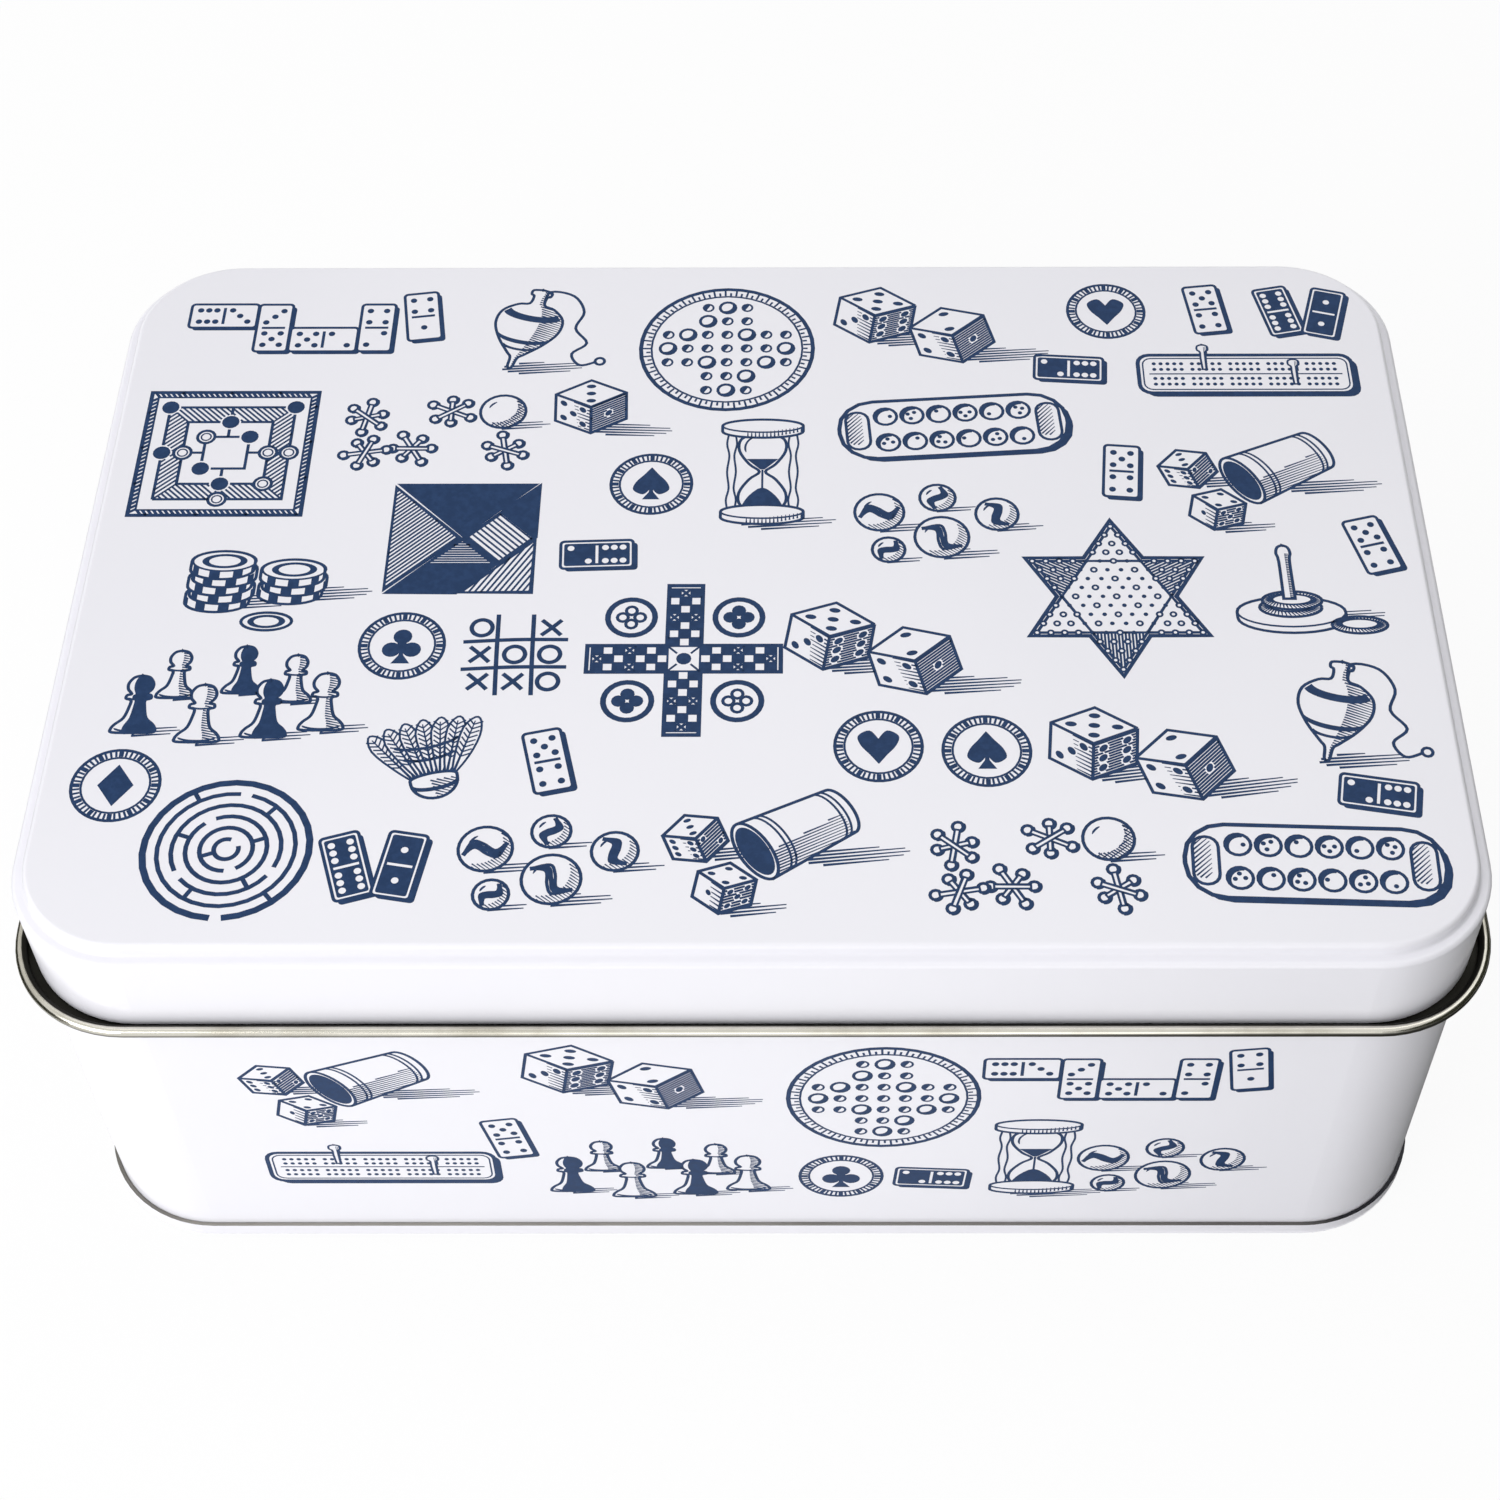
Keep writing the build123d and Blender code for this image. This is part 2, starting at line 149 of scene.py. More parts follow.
class Shader:
    """A material, or the world, under construction."""

    def __init__(self, name: str, for_world: bool = False) -> None:
        """Start with an empty tree and one surface output.

        Args:
            name: The name of the material or world.
            for_world: Whether it is a world.
        """
        self.owner = (bpy.data.worlds if for_world else bpy.data.materials).new(name)
        self.owner.use_nodes = True
        self.tree = self.owner.node_tree
        self.tree.nodes.clear()
        kind = "World" if for_world else "Material"
        self.output = self.tree.nodes.new(f"ShaderNodeOutput{kind}")

    def node(
        self, kind: str, settings: dict[str, Any], inputs: dict[Any, Any]
    ) -> bpy.types.Node:
        """Add a node.

        Args:
            kind: The node's type, without ShaderNode before it.
            settings: The node's own settings.
            inputs: Socket names or numbers, with the values or links they take.

        Returns:
            The new node.
        """
        node = self.tree.nodes.new(f"ShaderNode{kind}")
        for name, setting in settings.items():
            setattr(node, name, setting)
        for key, given in inputs.items():
            if isinstance(given, Value):
                self.tree.links.new(given.socket, node.inputs[key])
            elif isinstance(given, tuple) and len(given) == 3:
                target = node.inputs[key]
                target.default_value = given if target.type == "VECTOR" else (*given, 1.0)
            else:
                node.inputs[key].default_value = given
        return node

    def value(
        self, kind: str, settings: dict[str, Any], inputs: dict[Any, Any], out: Any = 0
    ) -> Value:
        """Add a node and return one of its outputs."""
        return Value(self, self.node(kind, settings, inputs).outputs[out])

    def place(self) -> Value:
        """Return the point on the object, in metres."""
        return self.value("TexCoord", {}, {}, "Object")

    def along(self, axis: str) -> Value:
        """Return one coordinate, X, Y or Z, of the point on the object."""
        return self.value("SeparateXYZ", {}, {0: self.place()}, axis)

    def facing(self, axis: str) -> Value:
        """Return how far the surface faces along X, Y or Z."""
        normal = self.value("TexCoord", {}, {}, "Normal")
        return self.value("SeparateXYZ", {}, {0: normal}, axis)

    def outward(self, middle_y: float) -> Value:
        """Return how far the surface faces away from the tin's middle, times its distance."""
        across = self.facing("X") * self.along("X")
        return across + self.facing("Y") * (self.along("Y") - middle_y)

    def noise(self, scale: float, detail: float = 2.0, stretch: Triple = (1, 1, 1)) -> Value:
        """Return smooth noise.

        Args:
            scale: Lumps per metre.
            detail: Octaves of finer noise.
            stretch: How much finer the noise is along X, Y and Z.

        Returns:
            A value round 0.5.
        """
        mapped = self.value("Mapping", {}, {"Vector": self.place(), "Scale": stretch})
        return self.value(
            "TexNoise",
            {},
            {"Vector": mapped, "Scale": scale, "Detail": detail, "Roughness": 0.55},
        )

    def blend(self, factor: Union[Value, float], first: Any, second: Any) -> Value:
        """Mix two colours by a factor."""
        return self.value("Mix", {"data_type": "RGBA"}, {0: factor, 6: first, 7: second}, 2)

    def bump(self, height: Value, depth: float) -> Value:
        """Return a normal from a height of 0 to 1 that stands for a depth in metres."""
        return self.value("Bump", {}, {"Strength": 1.0, "Distance": depth, "Height": height})

    def show(self, surface: Value) -> Union[bpy.types.Material, bpy.types.World]:
        """Give the tree its surface and return what owns the tree."""
        self.tree.links.new(surface.socket, self.output.inputs["Surface"])
        return self.owner

    def mix(self, factor: Union[Value, float], first: Value, second: Value) -> Value:
        """Mix two surfaces by a factor."""
        return self.value("MixShader", {}, {0: factor, 1: first, 2: second})

    def finish(self, inputs: dict[str, Any]) -> bpy.types.Material:
        """Close the material with one Principled surface and return it."""
        return self.show(self.value("BsdfPrincipled", {}, inputs))


# ------------------------------------------------------------------- finishes


@dataclass(frozen=True)
class Lacquer:
    """Glossy white lacquer on the outside of tinplate that is bare within.

    The walls are bare where they face the tin's middle, a lid where it faces down, and
    a base, for which inner_is_up is set, where it faces up. A cut edge at edge_height,
    where that is given, is painted near black, partly as its bare cut edge and partly as
    painted shade from the seam above it, more so to the right and at the corners.
    """

    name: str = "white_lacquer"
    colour: Colour = srgb(238, 237, 243)
    shade: Colour = srgb(231, 231, 238)
    metal: Colour = srgb(172, 169, 161)
    dull_metal: Colour = srgb(132, 129, 119)
    # near-black of the rim's top edge: bare cut edge with painted seam shade
    cut_edge_and_shade: Colour = srgb(52, 52, 56)
    roughness: float = 0.3
    coat: float = 0.3
    coat_roughness: float = 0.1
    ripple_depth: float = 0.000003
    middle_y: float = 0.0
    inner_is_up: bool = False
    edge_height: float = 0.0
    edge_band: float = 0.0003
    edge_softness: float = 0.0001
    # the painted seam shade grows heavier to the right of the first X and at the corners beyond
    # the second
    seam_shade_side: float = 0.06
    seam_shade_corner: float = 0.104

    def inner_side(self, shader: Shader) -> Value:
        """Return 1 on the side of the sheet that faces the tin's inside.

        Args:
            shader: The material being made.

        Returns:
            The mask.
        """
        wall = 1.0 - shader.outward(self.middle_y).above(-0.03, 0.01)
        inward = shader.facing("Z") * (1.0 if self.inner_is_up else -1.0)
        flat = inward.above(0.6, 0.1)
        return wall.larger(flat)

    def material(self) -> bpy.types.Material:
        """Build the finish.

        Returns:
            The material.
        """
        shader = Shader(self.name)
        cloud = shader.noise(14.0, 3.0)
        scuff = shader.noise(260.0, 4.0, (1.0, 6.0, 1.0)).above(0.72, 0.06)
        ripple = shader.noise(420.0, 1.0)
        lines = shader.noise(170.0, 4.0, (1.0, 26.0, 26.0))
        bare = self.inner_side(shader)
        white = shader.blend(cloud * 0.5, self.colour, self.shade)
        tarnish = shader.noise(90.0, 5.0).above(0.6, 0.2) * 0.35 + cloud * 0.25
        tin = shader.blend(tarnish, self.metal, self.dull_metal)
        colour = shader.blend(bare, white, tin)
        # painted shade: the rim's top edge under the seam darkens towards near black, heavier to
        # the right and at the corners
        if self.edge_height:
            band = self.edge_height - self.edge_band
            near = shader.along("Z").above(band, self.edge_softness)
            edge = near * shader.facing("Z").above(0.95, 0.04)
            across = shader.along("X")
            right = across.above(self.seam_shade_side, 2 * self.seam_shade_side) * 0.75
            corner = abs(across).above(self.seam_shade_corner, 0.008) * 0.45
            darkening = right + corner + cloud * 0.15
            colour = shader.blend(edge * darkening, colour, self.cut_edge_and_shade)
        gloss = scuff * 0.08 + cloud * 0.06 + (self.roughness - 0.03)
        return shader.finish(
            {
                "Base Color": colour,
                "Metallic": bare,
                "Roughness": gloss + bare * (lines * 0.14),
                "Coat Weight": (self.coat - scuff * 0.1) * (1.0 - bare),
                "Coat Roughness": self.coat_roughness,
                "Normal": shader.bump(ripple, self.ripple_depth),
            }
        )


@dataclass(frozen=True)
class Ink:
    """Navy litho ink, duller than the lacquer round it and a little uneven."""

    name: str = "navy_ink"
    dark: Colour = srgb(23, 51, 89)
    light: Colour = srgb(38, 66, 108)
    roughness: float = 0.42
    gloss: float = 0.2

    def material(self) -> bpy.types.Material:
        """Build the finish.

        Returns:
            The material.
        """
        shader = Shader(self.name)
        patchy = shader.noise(900.0, 3.0).above(0.55, 0.2)
        return shader.finish(
            {
                "Base Color": shader.blend(patchy * 0.6, self.dark, self.light),
                "Roughness": patchy * 0.08 + self.roughness,
                "Specular IOR Level": self.gloss,
            }
        )


@dataclass(frozen=True)
class Tinplate:
    """Bare metal with fine rolling lines along one axis and dull patches, with painted shade
    round a bead where one is given.
    """

    name: str
    colour: Colour = srgb(214, 211, 200)
    dull: Colour = srgb(168, 163, 148)
    # near-black colour of the painted shade round the bead
    painted_shade_colour: Colour = srgb(15, 15, 11)
    roughness: float = 0.16
    line_stretch: Triple = (1.0, 1.0, 30.0)
    line_depth: float = 0.000003
    bead_middle: float = 0.0
    bead_radius: float = 0.001
    middle_y: float = 0.0

    def painted_shade_mask(self, shader: Shader) -> Value:
        """Return the painted shade in the groove behind the bead and under it.

        Heights are counted from the bead's middle, in its radii.

        Args:
            shader: The material being made.

        Returns:
            0 where nothing is painted, 1 where the painted shade is black.
        """
        out = shader.outward(self.middle_y)
        height = (shader.along("Z") - self.bead_middle) / self.bead_radius
        # painted shade: the groove behind the bead and the bead's back go near black
        groove = 1.0 - height.above(-0.5, 0.1)
        behind = (1.0 - out.above(-0.02, 0.02)) * (1.0 - height.above(1.05, 0.1))
        outer = out.above(0.01, 0.01)
        # painted shade under the bead reaches higher towards the tin's right end
        lift = shader.along("X").above(0.06, 0.06) * 0.5
        under = outer * (1.0 - (height - lift).above(0.1, 0.25))
        dark = groove * (1.0 - outer) + behind
        return dark.above(0.5, 0.5) * 0.97 + under * 0.8

    def material(self) -> bpy.types.Material:
        """Build the finish, with painted shade round a rolled bead whose height is given.

        Returns:
            The material.
        """
        shader = Shader(self.name)
        lines = shader.noise(160.0, 4.0, self.line_stretch)
        patches = shader.noise(55.0, 4.0).above(0.58, 0.14)
        colour = shader.blend(patches * 0.7, self.colour, self.dull)
        roughness = lines * 0.12 + patches * 0.12 + (self.roughness - 0.06)
        if self.bead_middle:
            # darken the metal towards near black where the painted shade lies
            darkening = self.painted_shade_mask(shader)
            colour = shader.blend(darkening, colour, self.painted_shade_colour)
            roughness = roughness + darkening * 0.3
        return shader.finish(
            {
                "Base Color": colour,
                "Metallic": 1.0,
                "Roughness": roughness,
                "Normal": shader.bump(lines, self.line_depth),
            }
        )


@dataclass(frozen=True)
class TrayPlastic:
    """Matt thermoformed sheet with a fine grain and pale stress marks."""

    name: str = "tray_plastic"
    colour: Colour = srgb(36, 50, 84)
    pale: Colour = srgb(62, 78, 114)
    roughness: float = 0.55
    grain_depth: float = 0.00002

    def material(self) -> bpy.types.Material:
        """Build the finish.

        Returns:
            The material.
        """
        shader = Shader(self.name)
        grain = shader.noise(2600.0, 2.0)
        worn = shader.noise(40.0, 5.0).above(0.62, 0.12)
        return shader.finish(
            {
                "Base Color": shader.blend(worn * 0.5, self.colour, self.pale),
                "Roughness": grain * 0.16 + self.roughness,
                "Normal": shader.bump(grain, self.grain_depth),
            }
        )


@dataclass(frozen=True)
class Paper:
    """Paper or card with a fine tooth."""

    name: str
    colour: Colour
    shade: Colour
    roughness: float = 0.62
    tooth_depth: float = 0.000012

    def tint(self, shader: Shader) -> Value:
        """Return the paper's uneven colour."""
        return shader.blend(shader.noise(60.0, 3.0) * 0.6, self.colour, self.shade)

    def material(self) -> bpy.types.Material:
        """Build the finish.

        Returns:
            The material.
        """
        shader = Shader(self.name)
        tooth = shader.noise(3200.0, 3.0)
        return shader.finish(
            {
                "Base Color": self.tint(shader),
                "Roughness": tooth * 0.1 + self.roughness,
                "Normal": shader.bump(tooth, self.tooth_depth),
            }
        )


@dataclass(frozen=True)
class CardStack(Paper):
    """Stacked playing cards, whose edges show a fine dark line of painted shade under each card.
    """

    card_thickness: float = 0.0003
    # colour of the painted shade between the cards' edges
    gap: Colour = srgb(150, 146, 138)

    def tint(self, shader: Shader) -> Value:
        """Return the card's colour, with painted shade between two cards' edges.

        Args:
            shader: The material being made.

        Returns:
            The colour.
        """
        whole = shader.along("Z") / self.card_thickness
        layer = shader.value("Math", {"operation": "FRACT"}, {0: whole})
        side = 1.0 - abs(shader.facing("Z")).above(0.6, 0.1)
        worn = shader.noise(400.0, 2.0) * 0.5 + 0.25
        # painted shade: a dark line between each card and the next, on the stack's sides
        line = layer.above(0.78, 0.14) * side * worn
        return shader.blend(line, super().tint(shader), self.gap)


@dataclass(frozen=True)
class BandPaper(Paper):
    """Coloured paper of the decks' bands, with a pale line along both edges.

    The bands lie in two columns, as far to the left of the tin's middle as to the right.
    """

    middle: float = 0.0
    line_place: float = 0.0104
    line_width: float = 0.0007
    line_colour: Colour = srgb(222, 224, 232)

    def tint(self, shader: Shader) -> Value:
        """Return the band's colour with its two lines.

        Args:
            shader: The material being made.

        Returns:
            The colour.
        """
        out = abs(abs(shader.along("X")) - self.middle)
        half = self.line_width / 2
        start, end = self.line_place - half, self.line_place + half
        line = out.above(start, 0.00005) - out.above(end, 0.00005)
        return shader.blend(line, super().tint(shader), self.line_colour)


# ---------------------------------------------------------------------- print

Point = complex
PIPS: dict[int, list[Point]] = {
    1: [0],
    2: [-1 - 1j, 1 + 1j],
    3: [-1 - 1j, 0, 1 + 1j],
    4: [-1 - 1j, -1 + 1j, 1 - 1j, 1 + 1j],
    5: [-1 - 1j, -1 + 1j, 0, 1 - 1j, 1 + 1j],
    6: [-1 - 1j, -1, -1 + 1j, 1 - 1j, 1, 1 + 1j],
}
SIDES: tuple[Point, ...] = (1, 1j, -1, -1j)


class Line(float, Enum):
    """Widths of printed lines, in millimetres."""

    HAIR = 0.28
    FINE = 0.38
    MEDIUM = 0.56
    BOLD = 0.78


def polar(angle: float) -> Point:
    """Return the unit step in a direction given in degrees."""
    return cmath.exp(1j * math.radians(angle))


def circle(centre: Point, radius: float, squash: float = 1.0, turn: float = 0.0) -> list[Point]:
    """Return the points of a circle, or of an ellipse.

    Args:
        centre: The middle.
        radius: Half the length along the first axis.
        squash: The second axis as a share of the first.
        turn: Degrees that the first axis is turned.

    Returns:
        Points in order, anticlockwise.
    """
    count = int(max(10, min(40, 9 + radius * 4)))
    lean = polar(turn)
    steps = [2 * math.pi * k / count for k in range(count)]
    return [centre + radius * lean * complex(math.cos(a), squash * math.sin(a)) for a in steps]


def arc(
    centre: Point, radius: float, start: float, end: float, squash: float = 1.0
) -> list[Point]:
    """Return the points of an arc.

    Args:
        centre: The middle.
        radius: The radius along the level axis.
        start: The first angle, in degrees.
        end: The last angle, in degrees.
        squash: The upright axis as a share of the level one.

    Returns:
        Points from the first angle to the last.
    """
    count = max(4, int(abs(end - start) / 12) + 1)
    steps = [polar(start + (end - start) * k / count) for k in range(count + 1)]
    return [centre + radius * complex(p.real, squash * p.imag) for p in steps]


def moved(points: Sequence[Point], lean: Point, centre: Point = 0) -> list[Point]:
    """Return points that are turned and stretched by one step and moved by another."""
    return [centre + lean * point for point in points]


def box_outline(centre: Point, width: float, height: float) -> list[Point]:
    """Return the corners of a level rectangle."""
    half = complex(width, height) / 2
    return [centre - half, centre + half.conjugate(), centre + half, centre - half.conjugate()]


def rounded_box(centre: Point, width: float, height: float, radius: float) -> list[Point]:
    """Return the outline of a rectangle with round corners.

    Args:
        centre: The middle.
        width: The level size.
        height: The upright size.
        radius: The corners' radius.

    Returns:
        Points in order, anticlockwise.
    """
    points: list[Point] = []
    inner = box_outline(centre, width - 2 * radius, height - 2 * radius)
    for corner, start in zip(inner, (180, 270, 0, 90)):
        points += arc(corner, radius, start, start + 90)[::2]
    return points


def smooth(points: Sequence[Point], closed: bool = False, steps: int = 5) -> list[Point]:
    """Return a smooth line through some points.

    Args:
        points: Points to pass through.
        closed: Whether the line returns to its start.
        steps: Pieces between two points.

    Returns:
        The denser points.
    """
    count = len(points)
    if closed:
        found = [points[(k - 1) % count] for k in range(count + 3)]
    else:
        found = [points[0], *points, points[-1]]
    result: list[Point] = []
    for a, b, c, d in zip(found, found[1:], found[2:], found[3:]):
        for step in range(steps):
            t = step / steps
            bend = (2 * a - 5 * b + 4 * c - d) * t * t + (3 * b - a - 3 * c + d) * t**3
            result.append(b + ((c - a) * t + bend) / 2)
    return result if closed else result + [points[-1]]


def lathe(profile: Sequence[tuple[float, float]], foot: Point) -> list[Point]:
    """Return the outline of a turned shape.

    Args:
        profile: Half widths and heights, from the foot up.
        foot: Where the foot stands.

    Returns:
        The outline.
    """
    right = [foot + complex(width, height) for width, height in profile]
    left = [foot + complex(-width, height) for width, height in reversed(profile)]
    return smooth(right, steps=4) + smooth(left, steps=4)


def mirrored(right: Sequence[Point], size: float) -> list[Point]:
    """Return a sign's outline from its right half, drawn at a size."""
    left = [complex(-point.real, point.imag) for point in reversed(right)]
    return [size * point for point in (*right, *left)]


def heart(size: float) -> list[Point]:
    """Return the outline of a heart."""
    half = [1j * 0.45, 0.42 + 0.95j, 0.98 + 0.62j, 0.85 + 0.05j, 0.42 - 0.5j]
    return mirrored([*smooth(half, steps=4), 0.02 - 1.05j], size)


def stem(size: float) -> list[Point]:
    """Return the foot of a spade or club."""
    return mirrored([0.06 + 0.1j, 0.12 - 0.5j, 0.46 - 1.02j], size)


def drum(foot: Point, radius: float, height: float, squash: float) -> list[Point]:
    """Return the outline of a flat round block, seen from above its front."""
    return arc(foot, radius, 180, 360, squash) + arc(foot + 1j * height, radius, 0, 180, squash)


def flank(profile: Sequence[tuple[float, float]], foot: Point, share: float) -> list[Point]:
    """Return the shaded strip along the right side of a turned shape.

    Args:
        profile: Half widths and heights, from the foot up.
        foot: Where the foot stands.
        share: Where the strip ends, as a share of the half width.

    Returns:
        The strip's outline.
    """
    right = [foot + complex(width, height) for width, height in profile]
    back = [foot + complex(width * share, height) for width, height in reversed(profile)]
    return smooth(right + back, closed=True, steps=3)


def inside(point: Point, outline: Sequence[Point]) -> bool:
    """Say whether a point lies within an outline.

    Args:
        point: The point.
        outline: The outline's corners.

    Returns:
        Whether it does.
    """
    odd = False
    for a, b in zip(outline, [*outline[1:], outline[0]]):
        if (a.imag > point.imag) != (b.imag > point.imag):
            reach = a.real + (point.imag - a.imag) * (b.real - a.real) / (b.imag - a.imag)
            odd ^= point.real < reach
    return odd


def crossings(a: Point, b: Point, outline: Sequence[Point]) -> list[float]:
    """Find where a straight line crosses an outline.

    Args:
        a: The line's start.
        b: The line's end.
        outline: The corners of the outline.

    Returns:
        The crossings as shares of the line's length, in order.
    """
    found: list[float] = []
    line = b - a
    for c, d in zip(outline, [*outline[1:], outline[0]]):
        edge = d - c
        cross = (line.conjugate() * edge).imag
        if cross:
            share = ((c - a).conjugate() * edge).imag / cross
            along = ((c - a).conjugate() * line).imag / cross
            if 0 < share < 1 and 0 <= along < 1:
                found.append(share)
    return sorted(found)


def chords(a: Point, b: Point, outline: Sequence[Point]) -> list[tuple[Point, Point]]:
    """Return the stretches of a straight line that lie within an outline."""
    cuts = [a + (b - a) * share for share in crossings(a, b, outline)]
    return list(zip(cuts[::2], cuts[1::2]))


class Mark:
    """A line or an area of ink, with the box that it lies in."""

    def __init__(self, loops: list[list[Point]], widths: Sequence[float] = ()) -> None:
        """Keep a mark.

        Args:
            loops: A line's points, or an area's outline and the outlines left out of it.
            widths: A line's width at each point; none for an area.
        """
        self.loops = loops
        self.widths = list(widths)
        across = [point.real for point in loops[0]]
        upright = [point.imag for point in loops[0]]
        self.box = (min(across), max(across), min(upright), max(upright))

    def near(self, other: "Mark") -> bool:
        """Say whether this mark's box meets another's.

        Args:
            other: The other mark.

        Returns:
            Whether it does.
        """
        left, right, low, high = self.box
        a, b, c, d = other.box
        return left < b and a < right and low < d and c < high

    def outside(self, outline: list[Point]) -> list["Mark"]:
        """Cut a line where it passes under an outline.

        Args:
            outline: What lies over the line.

        Returns:
            The stretches that are left in view.
        """
        kept: list[Mark] = []
        run: list[Point] = []
        widths: list[float] = []
        points = self.loops[0]
        for a, b, first, last in zip(points, points[1:], self.widths, self.widths[1:]):
            cuts = [0.0, *crossings(a, b, outline), 1.0]
            for start, end in zip(cuts, cuts[1:]):
                if inside(a + (b - a) * (start + end) / 2, outline):
                    if len(run) > 1:
                        kept.append(Mark([run], widths))
                    run, widths = [], []
                    continue
                if not run:
                    run, widths = [a + (b - a) * start], [first + (last - first) * start]
                run.append(a + (b - a) * end)
                widths.append(first + (last - first) * end)
        if len(run) > 1:
            kept.append(Mark([run], widths))
        return kept


class Pen:
    """Draws in one ink; what is drawn later hides what it covers."""

    def __init__(self) -> None:
        """Start with nothing drawn."""
        self.lines: list[Mark] = []
        self.areas: list[Mark] = []

    def stroke(
        self,
        points: Sequence[Point],
        width: float = Line.MEDIUM,
        closed: bool = False,
        taper: bool = False,
    ) -> None:
        """Draw a line.

        Args:
            points: The points that it runs through.
            width: Its width.
            closed: Whether it returns to its start.
            taper: Whether it thins out at its ends.
        """
        run = [*points, points[0]] if closed else list(points)
        widths = [float(width)] * len(run)
        if taper:
            widths[0] *= 0.85 if len(run) == 2 else 0.4
            widths[-1] *= 0.35
        self.lines.append(Mark([run], widths))

    def loop(self, outline: Sequence[Point], width: float = Line.MEDIUM) -> None:
        """Draw an outline."""
        self.stroke(outline, width, closed=True)

    def curve(
        self, points: Sequence[Point], width: float = Line.MEDIUM, closed: bool = False
    ) -> None:
        """Draw a smooth line through some points."""
        self.stroke(smooth(points, closed), width, closed)

    def fill(self, *loops: Sequence[Point]) -> None:
        """Fill an area with ink; outlines after the first are left out of it."""
        self.areas.append(Mark([list(loop) for loop in loops]))

    def dot(self, centre: Point, radius: float) -> None:
        """Fill a circle with ink."""
        self.fill(circle(centre, radius))

    def cover(self, outline: Sequence[Point]) -> None:
        """Clear an area, so that what is drawn next lies over it.

        Args:
            outline: The area's corners.
        """
        lid = Mark([list(outline)])
        lines, self.lines = self.lines, []
        for line in lines:
            self.lines += line.outside(lid.loops[0]) if line.near(lid) else [line]
        for area in self.areas:
            if area.near(lid):
                area.loops.append(lid.loops[0])

    def join(self, outline: Sequence[Point]) -> None:
        """Fill an area that runs into ink already drawn."""
        self.cover(outline)
        self.fill(outline)

    def shape(self, outline: Sequence[Point], width: float = Line.MEDIUM) -> None:
        """Clear an area and draw its outline."""
        self.cover(outline)
        self.loop(outline, width)

    def hatch(
        self,
        region: Sequence[Point],
        angle: float,
        gap: float,
        width: float = Line.HAIR,
        taper: bool = True,
    ) -> None:
        """Rule parallel lines across a region.

        Args:
            region: The region's outline.
            angle: The lines' direction, in degrees.
            gap: The distance from one line to the next.
            width: The lines' width.
            taper: Whether they thin out at their ends.
        """
        lean = polar(angle)
        turned = [point / lean for point in region]
        left = min(point.real for point in turned) - gap
        right = max(point.real for point in turned) + gap
        height = min(point.imag for point in turned) + gap / 2
        highest = max(point.imag for point in turned)
        while height < highest:
            for a, b in chords(complex(left, height), complex(right, height), turned):
                if abs(b - a) > gap * 0.4:
                    self.stroke([a * lean, b * lean], width, taper=taper)
            height += gap

    def shadow(self, foot: Point, width: float, height: float) -> None:
        """Rule a cast shadow on the ground, to the right of a thing's foot.

        Args:
            foot: Where the thing stands.
            width: How far the shadow reaches.
            height: How far it spreads up and down.
        """
        corners = (-0.2, 0.2 + 0.5j, 1 + 0.35j, 0.75 - 0.3j, 0.1 - 0.5j)
        region = [foot + complex(p.real * width, p.imag * height) for p in corners]
        self.hatch(smooth(region, closed=True), 4, 0.66, Line.MEDIUM)


